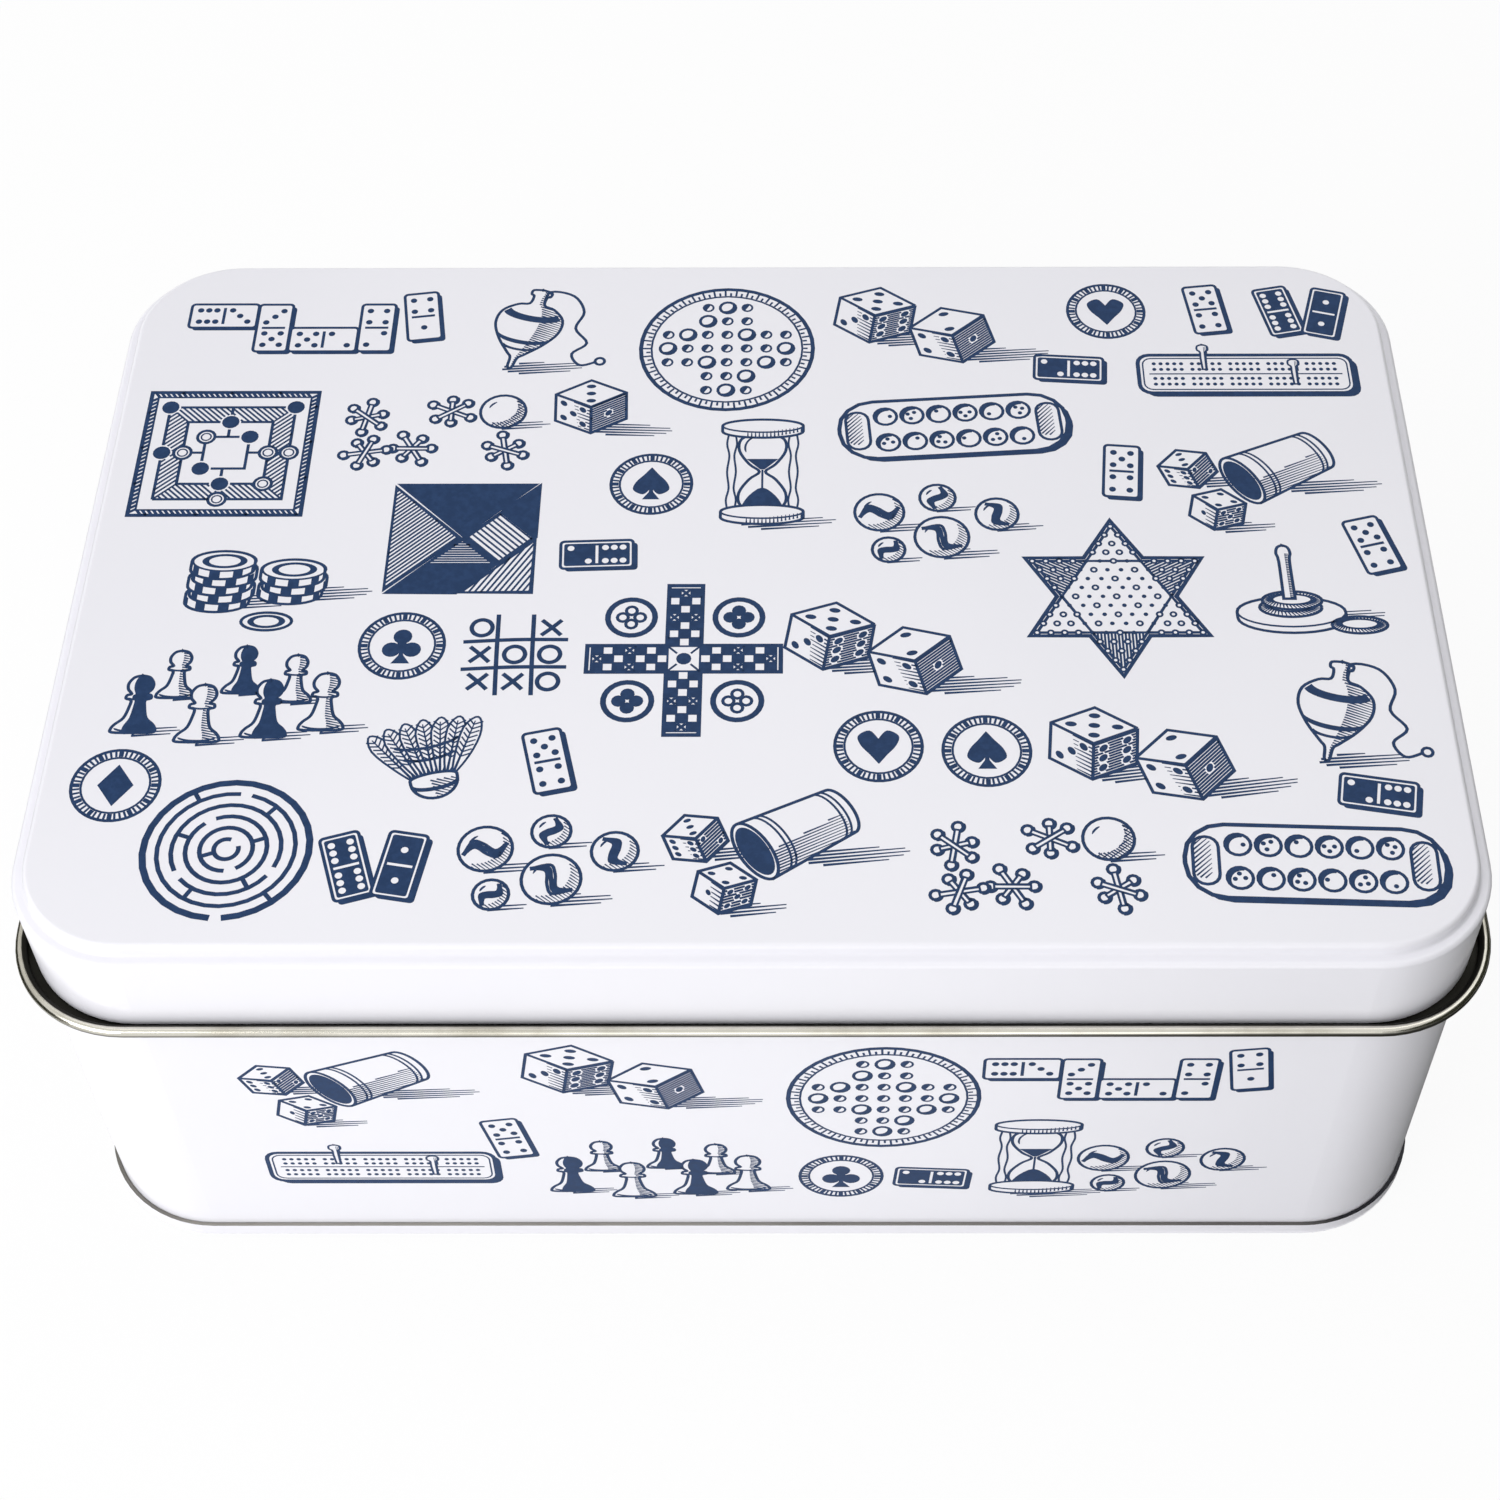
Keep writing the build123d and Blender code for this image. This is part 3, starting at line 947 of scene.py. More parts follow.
class MotifPen(Pen):
    """A pen that draws the games and toys of the print, each round its own middle.

    All lengths are in millimetres on the sheet and all angles in degrees.
    """

    def ray(self, angle: float, inner: float, outer: float, width: float = Line.FINE) -> None:
        """Draw a straight line that points away from the middle."""
        self.stroke([inner * polar(angle), outer * polar(angle)], width)

    def ball(self, centre: Point, radius: float, dark: bool = False) -> None:
        """Draw a ball lit from the upper left, with its cast shadow.

        Args:
            centre: Its middle.
            radius: Its radius.
            dark: Whether its shading is heavier.
        """
        self.shadow(centre - 0.85j * radius, radius * 2.1, radius * 0.5)
        self.shape(circle(centre, radius))
        outer = arc(centre, radius, -115, 50)
        inner = arc(centre + complex(-0.34, 0.3) * radius, radius * 0.98, 35, -100)
        self.hatch(outer + inner, -38, 0.5, Line.FINE if dark else Line.HAIR)
        if dark:
            self.hatch(outer + inner, 40, 0.8)
        self.stroke(arc(centre, radius * 0.66, 118, 160), Line.FINE, taper=True)

    def morris_board(self) -> None:
        """Draw a nine men's morris board with counters on it."""
        self.shape(box_outline(0, 31, 31), Line.BOLD)
        self.loop(box_outline(0, 28.4, 28.4), Line.FINE)
        for side in SIDES:
            for step in range(-14, 15):
                ends = [side * complex(14.2, step), side * complex(15.5, step + 0.9)]
                self.stroke(ends)
        rings = (11.6, 7.8, 4.0)
        for half in rings:
            self.loop(box_outline(0, 2 * half, 2 * half))
        for side in SIDES:
            strip = (7.8 - 7.8j, 11.6 - 11.6j, 11.6 + 11.6j, 7.8 + 7.8j)
            lean = math.degrees(cmath.phase(side)) + 45
            self.hatch(moved(strip, side), lean, 0.8, Line.FINE, taper=False)
            self.stroke([4.0 * side, 11.6 * side])
        corners = [1, 1 + 1j, 1j, -1 + 1j, -1, -1 - 1j, -1j, 1 - 1j]
        points = [half * corner for half in rings for corner in corners]
        for place in (1, 3, 4, 10, 14, 17, 21):
            self.cover(circle(points[place], 1.9))
            self.dot(points[place], 1.6)
        for place in (0, 6, 8, 12, 15, 19):
            self.shape(circle(points[place], 1.6))
            self.loop(circle(points[place], 0.9), Line.HAIR)

    def tangram(self) -> None:
        """Draw a square cut into seven flat pieces."""
        unit = 6.6
        cuts: list[tuple[list[Point], float, float]] = [
            ([0, 4j, 2 + 2j], 45, 0.7),
            ([4j, 4 + 4j, 2 + 2j], 0, 0.5),
            ([4 + 4j, 4 + 2j, 3 + 3j], 90, 0.45),
            ([2 + 2j, 3 + 3j, 4 + 2j, 3 + 1j], -45, 0.95),
            ([2 + 2j, 3 + 1j, 1 + 1j], 0, 0.55),
            ([0, 2, 3 + 1j, 1 + 1j], 120, 0.6),
            ([2, 4, 4 + 2j], 60, 0.9),
        ]
        for number, (corners, angle, gap) in enumerate(cuts):
            middle = sum(corners) / len(corners)
            placed = [((middle + (c - middle) * 0.93) - (2 + 2j)) * unit for c in corners]
            self.loop(placed, Line.BOLD)
            if number in (1, 2, 5):
                self.fill(placed)
            else:
                self.hatch(placed, angle, gap, Line.FINE, taper=False)

    def solitaire_board(self) -> None:
        """Draw a round peg solitaire board with some of its marbles."""
        self.shape(circle(0, 16.2), Line.BOLD)
        self.loop(circle(0, 14.2), Line.FINE)
        for step in range(90):
            self.ray(4 * step, 14.4, 15.9 if step % 2 else 15.2)
        for column in range(-3, 4):
            for row in range(-3, 4):
                if min(abs(column), abs(row)) > 1:
                    continue
                hole = complex(column, row) * 3.7
                if (2 * column + row) % 3 == 0 and (column, row) != (0, 0):
                    self.shape(circle(hole, 1.5))
                    crescent = arc(hole, 1.5, -120, 50) + arc(hole - 0.5 + 0.5j, 1.4, 30, -100)
                    self.fill(crescent)
                else:
                    self.loop(circle(hole, 0.95), Line.FINE)
                    self.fill(arc(hole, 0.95, 60, 240))

    def star_board(self) -> None:
        """Draw a six-pointed star board with a hole at each crossing."""
        radius, pitch = 16.5, 16.5 / 8 * 2 / math.sqrt(3)
        tips = [radius * polar(90 + 60 * k) for k in range(6)]
        waists = [radius / math.sqrt(3) * polar(120 + 60 * k) for k in range(6)]
        outline = [point for pair in zip(tips, waists) for point in pair]
        self.shape(moved(outline, 1.09), Line.BOLD)
        for k in range(6):
            region = [waists[k - 1], tips[k], waists[k]]
            self.loop(region)
            if k % 2:
                self.hatch(region, 90 + 60 * k, 0.6, Line.FINE, taper=False)
        slant = cmath.exp(1j * math.pi / 3)
        for a in range(-8, 9):
            for b in range(-8, 9):
                triple = (a, b, -a - b)
                if max(triple) > 4 and min(triple) < -4:
                    continue
                hole = pitch * (a + b * slant)
                central = max(map(abs, triple)) <= 4
                if central and (a - b) % 3:
                    self.dot(hole, 0.42)
                else:
                    self.cover(circle(hole, 0.62))
                    self.loop(circle(hole, 0.5), Line.FINE)

    def pips(
        self, middle: Point, u: Point, v: Point, number: int, radius: float, light: bool = False
    ) -> None:
        """Draw spots on a flat face.

        Args:
            middle: The middle of the face.
            u: From the middle to the spots' first side.
            v: From the middle to their second side.
            number: How many spots.
            radius: A spot's radius, as a share of u and v.
            light: Whether the spots are left bare in a dark face.
        """
        for spot in PIPS[number]:
            centre = middle + u * spot.real + v * spot.imag
            ring = [centre + radius * (u * e.real + v * e.imag) for e in circle(0, 1.0)]
            halo = [centre + (1.0 if light else 1.4) * (point - centre) for point in ring]
            self.cover(halo)
            if not light:
                self.fill(ring)

    def die(self, corner: Point, side: float, spin: float, faces: tuple[int, int, int]) -> None:
        """Draw a die whose nearest corner points at the viewer.

        Args:
            corner: The nearest corner.
            side: The length of an edge.
            spin: Degrees the die is turned.
            faces: The spots on the top, left and right faces.
        """
        lean = polar(spin) * side
        right, left, down = (lean * polar(a) for a in (28, 152, 270))
        down *= 0.92
        outline = (right, right + left, left, left + down, down, right + down)
        self.shadow(corner + down + right * 0.35, side * 1.7, side * 0.45)
        self.shape(moved(outline, 1, corner))
        for end in (right, left, down):
            self.stroke([corner, corner + end])
        right_face = [corner, corner + right, corner + right + down, corner + down]
        self.hatch(right_face, math.degrees(cmath.phase(right)), 0.5, Line.FINE, taper=False)
        left_face = [corner, corner + left * 0.5, corner + left * 0.35 + down, corner + down]
        self.hatch(left_face, math.degrees(cmath.phase(left)), 0.72, Line.FINE)
        for number, (u, v) in zip(faces, ((right, left), (left, down), (right, down))):
            self.pips(corner + (u + v) / 2, u * 0.27, v * 0.27, number, 0.36)

    def dice_pair(self) -> None:
        """Draw two thrown dice."""
        self.die(-7 + 2j, 8.2, -9, (5, 3, 6))
        self.die(7.5 - 3.5j, 8.2, 14, (2, 4, 1))

    def domino(
        self, centre: Point, turn: float, first: int, second: int, dark: bool = False
    ) -> None:
        """Draw a domino lying flat, with its thick lower edges shaded.

        Args:
            centre: Its middle.
            turn: Degrees that it is turned.
            first: The spots on its upper half.
            second: The spots on its lower half.
            dark: Whether it is a black one with pale spots.
        """
        lean = polar(turn)
        tile = moved(rounded_box(0, 6.4, 12.8, 0.7), lean, centre)
        self.join(moved(tile, 1, 0.75 - 0.75j))
        self.shape(tile)
        if dark:
            self.fill(moved(rounded_box(0, 5.2, 11.6, 0.4), lean, centre))
            self.cover(moved(box_outline(0, 4.2, 0.5), lean, centre))
        else:
            self.stroke([centre - 2.2 * lean, centre + 2.2 * lean])
        for number, half in ((first, 1), (second, -1)):
            u, v = 1.55 * lean, 1.55j * lean
            self.pips(centre + lean * 3.05j * half, u, v, number, 0.4, dark)

    def domino_trail(self) -> None:
        """Draw dominoes laid end to end round two corners."""
        self.domino(-16 + 4.6j, 90, 6, 3)
        self.domino(-6.2 + 1.3j, 0, 3, 5)
        self.domino(3.6 - 1.9j, 90, 5, 2)
        self.domino(13.4 + 1.3j, 0, 4, 2)
        self.domino(22 + 4.4j, 8, 4, 1)

    def upright_tile(self) -> None:
        """Draw one domino with nine spots."""
        self.domino(0, 3, 5, 4)

    def level_tile(self) -> None:
        """Draw one domino with eight spots, lying across."""
        self.domino(0, 86, 2, 6, dark=True)

    def double_tile(self) -> None:
        """Draw a double six and a double one, crossed."""
        self.domino(-4.2, 12, 6, 6, dark=True)
        self.domino(4.4 - 0.6j, -15, 1, 1, dark=True)

    def lone_die(self) -> None:
        """Draw one die."""
        self.die(-1 + 1.5j, 7.4, 8, (3, 5, 1))

    def pawn(self, foot: Point, size: float, dark: bool) -> None:
        """Draw a turned wooden game pawn.

        Args:
            foot: Where it stands.
            size: Its size, 1 for the usual one.
            dark: Whether it is of the dark side.
        """
        profile = [
            (0, 0), (3.4, 0.1), (3.7, 0.9), (3.1, 1.9), (1.9, 3.2), (1.3, 5.6), (1.2, 7.0),
            (2.1, 7.4), (2.0, 8.1), (1.3, 8.4), (2.0, 9.4), (2.1, 10.7), (1.3, 12.0), (0, 12.4),
        ]  # fmt: skip
        scaled = [(size * width, size * height) for width, height in profile]
        self.shadow(foot + 0.3j, 8 * size, 2.2 * size)
        self.shape(lathe(scaled, foot))
        if dark:
            self.fill(flank(scaled, foot, -0.5))
        else:
            self.hatch(flank(scaled, foot, 0.25), -14, 0.5, Line.FINE)
        for height, half in ((1.3, 3.4), (7.7, 1.9)):
            curve = arc(foot + 1j * height * size, half * size, 200, 340, 0.3)
            self.stroke(curve, Line.FINE, taper=True)

    def pawn_group(self) -> None:
        """Draw pawns of two sides, the far ones first."""
        for foot, dark in ((-9 - 1.5j, False), (2 - 0.5j, True), (11 - 2.5j, False)):
            self.pawn(foot, 0.84, dark)
        near = ((-15 - 9j, True), (-4 - 11j, False), (7 - 10j, True), (16.5 - 8.5j, False))
        for foot, dark in near:
            self.pawn(foot, 1.0, dark)

    def spinning_top(self) -> None:
        """Draw a wooden peg top leaning as it spins, with its string."""
        self.shadow(-1.5 - 11.2j, 13, 3)
        profile = [
            (0, -11.5), (0.45, -11), (0.7, -8.6), (1.7, -7.4), (4.3, -4.2), (6.2, -0.4),
            (6.0, 3.2), (3.6, 5.6), (1.5, 6.3), (1.3, 8.4), (1.9, 8.9), (1.8, 10), (0, 10.4),
        ]  # fmt: skip
        lean = polar(-14)
        self.shape(moved(lathe(profile, 0), lean))
        self.hatch(moved(flank(profile, 0, 0.3), lean), -24, 0.55, Line.FINE)
        for upper, lower, wide, narrow in ((4.6, 3.4, 4.6, 5.7), (-2.0, -3.2, 5.3, 4.7)):
            edge = arc(1j * upper, wide, 190, 350, 0.34)
            self.fill(moved(edge + arc(1j * lower, narrow, 350, 190, 0.34), lean))
        self.stroke(moved(arc(-5.2j, 3.2, 190, 350, 0.34), lean))
        string = [
            lean * (1.2 + 6.8j), 4 + 9.6j, 8.5 + 8.4j, 10.6 + 4j, 9.2 - 0.5j, 11.5 - 4.5j,
            8.8 - 7.4j, 10.4 - 10.4j, 13.4 - 9.6j,
        ]  # fmt: skip
        self.curve(string)
        self.loop(circle(14.2 - 9.4j, 0.9))

    def jack(self, centre: Point, size: float, spin: float) -> None:
        """Draw one six-armed jack.

        Args:
            centre: Its middle.
            size: The length of its longest arm.
            spin: Degrees that it is turned.
        """
        for angle, length in ((15, 0.75), (80, 1.0), (140, 0.9)):
            arm = size * length * polar(angle + spin)
            side = arm / abs(arm) * 1j * size * 0.13
            for end in (-arm, arm):
                self.shape(circle(centre + end, size * 0.24))
                crescent = arc(centre + end, size * 0.24, -110, 40)
                self.stroke(crescent, Line.BOLD, taper=True)
            corners = (side - arm, side + arm, arm - side, -arm - side)
            bar = moved(corners, 0.84, centre)
            self.shape(bar, Line.FINE)
            lower = [bar[2], bar[3], (bar[3] + bar[0]) / 2, (bar[1] + bar[2]) / 2]
            self.hatch(lower, math.degrees(cmath.phase(arm)), 0.3, Line.FINE)

    def jacks(self) -> None:
        """Draw a handful of jacks and their ball."""
        for centre, spin in (
            (-13 + 3j, 0), (-4 - 5j, 40), (2.5 + 4.5j, 75), (-12.5 - 6j, 110), (13 - 5.5j, 20),
        ):  # fmt: skip
            self.jack(centre, 3.9, spin)
        self.ball(12 + 4.4j, 4.2, dark=True)

    def noughts(self) -> None:
        """Draw a noughts and crosses grid, as if by hand."""
        for offset in (-3.1, 3.0):
            self.curve(moved((-9 - 0.2j, 0.3j, 9 + 0.3j), 1, 1j * offset), Line.BOLD)
            self.curve(moved((0.3 - 9j, 0, -0.2 + 9j), 1, offset), Line.BOLD)
        for cell in (-6 + 6j, 0, 6 - 6j, 6):
            nought = [cell + 1.8 * polar(45 * k) for k in range(8)]
            self.curve(nought, Line.BOLD, closed=True)
        for cell in (6 + 6j, -6, -6 - 6j, -6j):
            for slant in (1 + 1j, 1 - 1j):
                self.curve([cell - 1.7 * slant, cell + 0.1, cell + 1.7 * slant], Line.BOLD)

    def marbles(self) -> None:
        """Draw glass marbles with twisted cores."""
        for centre, radius, spin in (
            (-10 + 2j, 4.4, 20), (0.5 + 5.5j, 3.2, 80), (1 - 4j, 4.8, -30),
            (11 + 1.5j, 3.8, 130), (-8.5 - 7j, 2.9, 60),
        ):  # fmt: skip
            self.ball(centre, radius)
            for side in (-0.28, 0.0, 0.28):
                bend, rise = 0.35 - 0.34j, side * 0.5j
                swirl = (-0.85, rise - bend, side * 0.9j, rise + bend, 0.85)
                line = moved(swirl, polar(spin) * radius, centre)
                self.curve(line, Line.MEDIUM if side else Line.BOLD)

    def shaker(self) -> None:
        """Draw a leather dice shaker on its side, with dice thrown from it."""
        lean = polar(28)
        mouth, foot = -5, 11
        bottom = [foot + complex(0.42 * p.real, p.imag) for p in arc(0, 4.9, 90, -90)[1:-1]]
        body = [mouth + 6.2j, foot + 4.9j, *bottom, foot - 4.9j, mouth - 6.2j]
        self.shadow(lean * (3 - 6j), 15, 3.4)
        self.shape(moved(body, lean))
        lower = (mouth - 6.2j, foot - 4.9j, foot - 0.4j, mouth - 1.4j)
        self.hatch(moved(lower, lean), 25, 0.55, Line.FINE)
        for along in (-2.4, 8.6):
            half = 6.2 - (along + 5) * 1.3 / 16
            for step in (0.0, 0.9):
                band = moved(circle(along + step, half, 0.42, 90), lean)
                self.stroke(band[len(band) // 2:] + band[:1], Line.FINE)
        self.shape(moved(circle(mouth, 6.2, 0.42, 90), lean))
        self.fill(moved(circle(mouth, 5.3, 0.42, 90), lean))
        self.die(-14 + 0.5j, 5.4, 20, (3, 6, 2))
        self.die(-9.5 - 9.5j, 5.4, -12, (4, 1, 5))

    def sand_timer(self) -> None:
        """Draw a sand timer in a turned frame."""
        self.shadow(-1 - 12.6j, 14, 3)
        for x in (-5.6, 5.6):
            post = [(0.5, -10), (0.9, -7), (0.45, -4), (0.8, 0), (0.45, 4), (0.9, 7), (0.5, 10)]
            self.shape(lathe(post, x), Line.FINE)
        upper = [(0.55, 0), (2.4, 1.9), (4.2, 5.2), (3.9, 8.2), (1.2, 9.6)]
        lower = [(width, -height) for width, height in reversed(upper[1:])]
        self.shape(lathe(lower + upper, 0))
        heap = [-3.7 - 8.4j, -2.4 - 5.9j, -3.9j, 2.4 - 5.9j, 3.7 - 8.4j]
        self.fill(smooth(heap, steps=3))
        self.fill([-2.9 + 3.2j, -0.4 + 0.6j, 0.4 + 0.6j, 2.9 + 3.2j])
        self.stroke([0.5j, -4.2j], Line.FINE)
        self.stroke(arc(6j, 3.2, 120, 200), Line.FINE, taper=True)
        for y in (-11.2, 10.2):
            self.shape(drum(1j * y, 7.4, 1.4, 0.22))
            self.stroke(arc(1j * (y + 1.4), 7.4, 180, 360, 0.22), Line.FINE)
            edge = (-3 - 1.5j, 1 - 1.6j, 7.4, 7.4 + 1.2j, 1, -3)
            self.hatch(moved(edge, 1, 1j * y), 90, 0.7, Line.FINE)

    def counters(self) -> None:
        """Draw two stacks of striped counters."""
        for foot, height in ((-6.5 - 6j, 5), (6.0 - 4.2j, 3)):
            self.shadow(foot + 2.0, 12, 3.2)
            for number in range(height):
                level = foot + 1.9j * number + (0.35 if number % 2 else -0.2)
                self.shape(drum(level, 5.6, 1.9, 0.42))
                for start in range(186 + 17 * (number % 3), 350, 44):
                    low = arc(level, 5.6, start, start + 20, 0.42)
                    high = arc(level + 1.9j, 5.6, start + 20, start, 0.42)
                    self.fill(low + high)
            top = foot + 1.9j * height
            self.loop(circle(top, 5.6, 0.42), Line.FINE)
            self.fill(circle(top, 4.0, 0.42), circle(top, 2.8, 0.42))
        self.shape(circle(2.5 - 10.5j, 4.4, 0.46))
        self.fill(circle(2.5 - 10.5j, 3.3, 0.46), circle(2.5 - 10.5j, 2.2, 0.46))

    def score_board(self) -> None:
        """Draw a long pegged scoring board."""
        self.fill(rounded_box(1 - 1j, 40, 10, 2.2))
        self.shape(rounded_box(0, 40, 10, 2.2), Line.BOLD)
        self.loop(rounded_box(0, 38.2, 8.2, 1.6), Line.HAIR)
        for row in (-2.7, -1.2, 1.2, 2.7):
            for number in range(25):
                self.dot(complex(-17 + number * 1.28 + 0.75 * (number // 5), row), 0.4)
        self.stroke([-18, 18], Line.HAIR)
        for foot in (-7.6 + 1.2j, 9.1 - 2.7j):
            peg = [(0.35, 0), (0.5, 3), (0.5, 4.6), (1.0, 5.2), (0.9, 6.2), (0, 6.6)]
            self.shape(lathe(peg, foot), Line.FINE)
            self.hatch([foot + 0.1, foot + 0.6, foot + 0.9 + 6j, foot + 0.1 + 6j], 90, 0.25)

    def medal(self) -> None:
        """Draw a ring of fine rays round a suit's sign."""
        self.loop(circle(0, 7.3))
        self.loop(circle(0, 5.7), Line.FINE)
        for step in range(48):
            self.ray(7.5 * step, 5.9, 7.1, Line.FINE if step % 4 else Line.BOLD)

    def heart_medal(self) -> None:
        """Draw a heart in a ring."""
        self.medal()
        self.fill(heart(3.5))

    def spade_medal(self) -> None:
        """Draw a spade in a ring."""
        self.medal()
        self.fill([point.conjugate() + 0.6j for point in heart(3.3)])
        self.join([point - 0.3j for point in stem(3.4)])

    def diamond_medal(self) -> None:
        """Draw a diamond in a ring."""
        self.medal()
        self.fill([4.3j, 3.0, -4.3j, -3.0])

    def club_medal(self) -> None:
        """Draw a club in a ring."""
        self.medal()
        for lobe in (2.0j, 1.75 - 0.9j, -1.75 - 0.9j):
            self.join(circle(lobe, 1.62))
        self.join(circle(0.1j, 0.9))
        self.join([point - 0.4j for point in stem(3.5)])

    def seed_board(self) -> None:
        """Draw a board of round pits with seeds in them."""
        self.fill(rounded_box(0.9 - 0.9j, 42, 14.5, 6.6))
        self.shape(rounded_box(0, 42, 14.5, 6.6), Line.BOLD)
        for store in (-17.6, 17.6):
            self.loop(rounded_box(store, 4.2, 9.4, 2.0))
            hollow = rounded_box(store - 0.5 + 0.5j, 2.8, 8.0, 1.2)
            self.hatch(hollow, 45, 0.64, Line.FINE)
        for column in range(6):
            for row in (-1, 1):
                pit = complex(-12.3 + column * 4.92, row * 3.3)
                self.loop(circle(pit, 2.1))
                self.fill(arc(pit, 2.1, 60, 230) + arc(pit + 0.5 - 0.5j, 1.95, 205, 85))
                for number in range((column * 2 + row + 3) % 4 + 1):
                    seed = pit + 0.85 * cmath.exp(1j * (number * 1.7 + column))
                    self.dot(seed, 0.42)

    def labyrinth(self) -> None:
        """Draw a round hedge maze."""
        rings = {13.5: [270], 11.2: [80], 8.9: [215, 330], 6.6: [120], 4.3: [285], 2.0: [45]}
        for radius, gaps in rings.items():
            opening = math.degrees(1.9 / radius)
            width = Line.BOLD * (1.5 if radius == max(rings) else 1.0)
            for start, end in zip(gaps, [*gaps[1:], gaps[0] + 360]):
                self.stroke(arc(0, radius, start + opening / 2, end - opening / 2), width)
        for inner, angle in (
            (2.0, 200), (4.3, 20), (6.6, 160), (6.6, 300), (8.9, 50), (8.9, 240), (11.2, 120),
            (11.2, 310),
        ):  # fmt: skip
            self.ray(angle, inner, inner + 2.3, Line.BOLD)

    def quoits(self) -> None:
        """Draw a peg on a base with rope rings thrown over and beside it."""
        self.shadow(-3 - 7j, 19, 4)
        self.shape(drum(-7j, 9.4, 1.4, 0.36))
        self.stroke(arc(-5.6j, 9.4, 180, 360, 0.36), Line.FINE)
        for centre, radius in ((-4.6j, 5.4), (-3.0j + 0.4, 5.2)):
            self.rope_ring(centre, radius)
        self.shape(lathe([(1.0, -2.6), (0.95, 6), (1.25, 8), (0.9, 9.4), (0, 9.9)], 0))
        self.hatch([0.2 - 2.4j, 0.9 - 2.4j, 0.9 + 8j, 0.2 + 8j], 0, 0.4, Line.FINE)
        self.rope_ring(11.5 - 8.6j, 4.8)

    def rope_ring(self, centre: Point, radius: float) -> None:
        """Draw a ring of laid rope, seen from above its edge.

        Args:
            centre: The middle.
            radius: The ring's outer radius.
        """
        outer = circle(centre, radius, 0.4)
        self.cover(outer)
        self.loop(outer)
        self.loop(circle(centre + 0.25j, radius * 0.66, 0.34), Line.FINE)
        for step in range(40):
            start, end = polar(9 * step), polar(9 * step + 9)
            first = centre + 0.25j + radius * 0.68 * complex(start.real, 0.34 * start.imag)
            last = centre + radius * 0.97 * complex(end.real, 0.4 * end.imag)
            self.stroke([first, last], Line.FINE, taper=True)

    def shuttlecock(self) -> None:
        """Draw a feathered shuttlecock."""
        for number in range(-3, 4):
            lean = polar(-9.5 * number)
            foot = -5.5j + 1.1 * number
            feather = [
                0, 1.35 + 4j, 1.75 + 8.6j, 1.0 + 11.6j, -0.2 + 12.2j, -1.5 + 9.5j, -1.1 + 4.4j,
            ]  # fmt: skip
            self.shape(smooth(moved(feather, lean, foot), True, 3), Line.FINE)
            self.stroke([foot, foot + lean * 11.4j], taper=True)
            for step in range(3, 11):
                barb = foot + lean * 1j * (step + 0.6)
                for tip in (1.35 + 1j, -1.1 + 1j):
                    self.stroke([barb, barb + lean * tip], Line.HAIR)
        for y, half in ((-1.4, 4.5), (1.5, 5.7)):
            self.stroke(arc(1j * (y + 1.0), half, 200, 340, 0.3))
        self.shape(arc(-6.2j, 3.9, 180, 360, 0.95) + arc(-5.6j, 3.9, 0, 180, 0.24))
        self.stroke(arc(-6.8j, 3.85, 190, 350, 0.3), Line.BOLD)
        self.hatch(arc(-6.2j, 3.9, 270, 360, 0.95) + [-0.6 - 6j], -30, 0.55, Line.FINE)

    def cross_board(self) -> None:
        """Draw a cross-shaped race board, three squares wide on each arm."""
        cell, arm = 1.86, 7
        reach = cell * (arm + 1.5)
        half = cell * 1.5
        corners = (complex(half, -half), complex(reach, -half), complex(reach, half))
        outline = [side * corner for side in SIDES for corner in corners]
        self.shape(moved(outline, 1.05), Line.BOLD)
        self.loop(outline, Line.FINE)
        for side in SIDES:
            for step in range(arm + 1):
                along = half + step * cell
                self.stroke([side * complex(along, end) for end in (-half, half)], Line.FINE)
                for row in (-1, 0, 1):
                    middle = side * complex(along + cell / 2, row * cell)
                    if step < arm and (step + row) % 2:
                        self.fill(box_outline(middle, cell, cell))
                    if (step, row) in ((3, 1), (3, -1), (6, 0)):
                        for slant in (1 + 1j, 1 - 1j):
                            self.stroke([middle - 0.7 * slant, middle + 0.7 * slant])
            for row in (-0.5 * cell, 0.5 * cell):
                self.stroke([side * complex(end, row) for end in (half, reach)], Line.FINE)
        for slant in (1 + 1j, 1 - 1j):
            self.stroke([half * slant, -half * slant], Line.FINE)
        self.cover(circle(0, 1.7))
        self.dot(0, 1.3)
        for corner in (1 + 1j, -1 + 1j, -1 - 1j, 1 - 1j):
            centre = corner * (reach + half) / 2
            self.fill(circle(centre, 4.6), circle(centre, 3.6))
            for spot in (1.5, 1.5j, -1.5, -1.5j):
                self.shape(circle(centre + spot, 0.95))
                if corner.real * corner.imag > 0:
                    self.dot(centre + spot, 0.7)

    def rosette(self, centre: Point, radius: float) -> None:
        """Draw a round of eight petals in a double ring.

        Args:
            centre: Its middle.
            radius: The radius of the outer ring.
        """
        self.shape(circle(centre, radius), Line.BOLD)
        self.loop(circle(centre, radius * 0.86), Line.FINE)
        for step in range(8):
            petal = (0.12, polar(-15) * 0.42, 0.74, polar(15) * 0.42)
            self.fill(moved(petal, radius * polar(45 * step), centre))

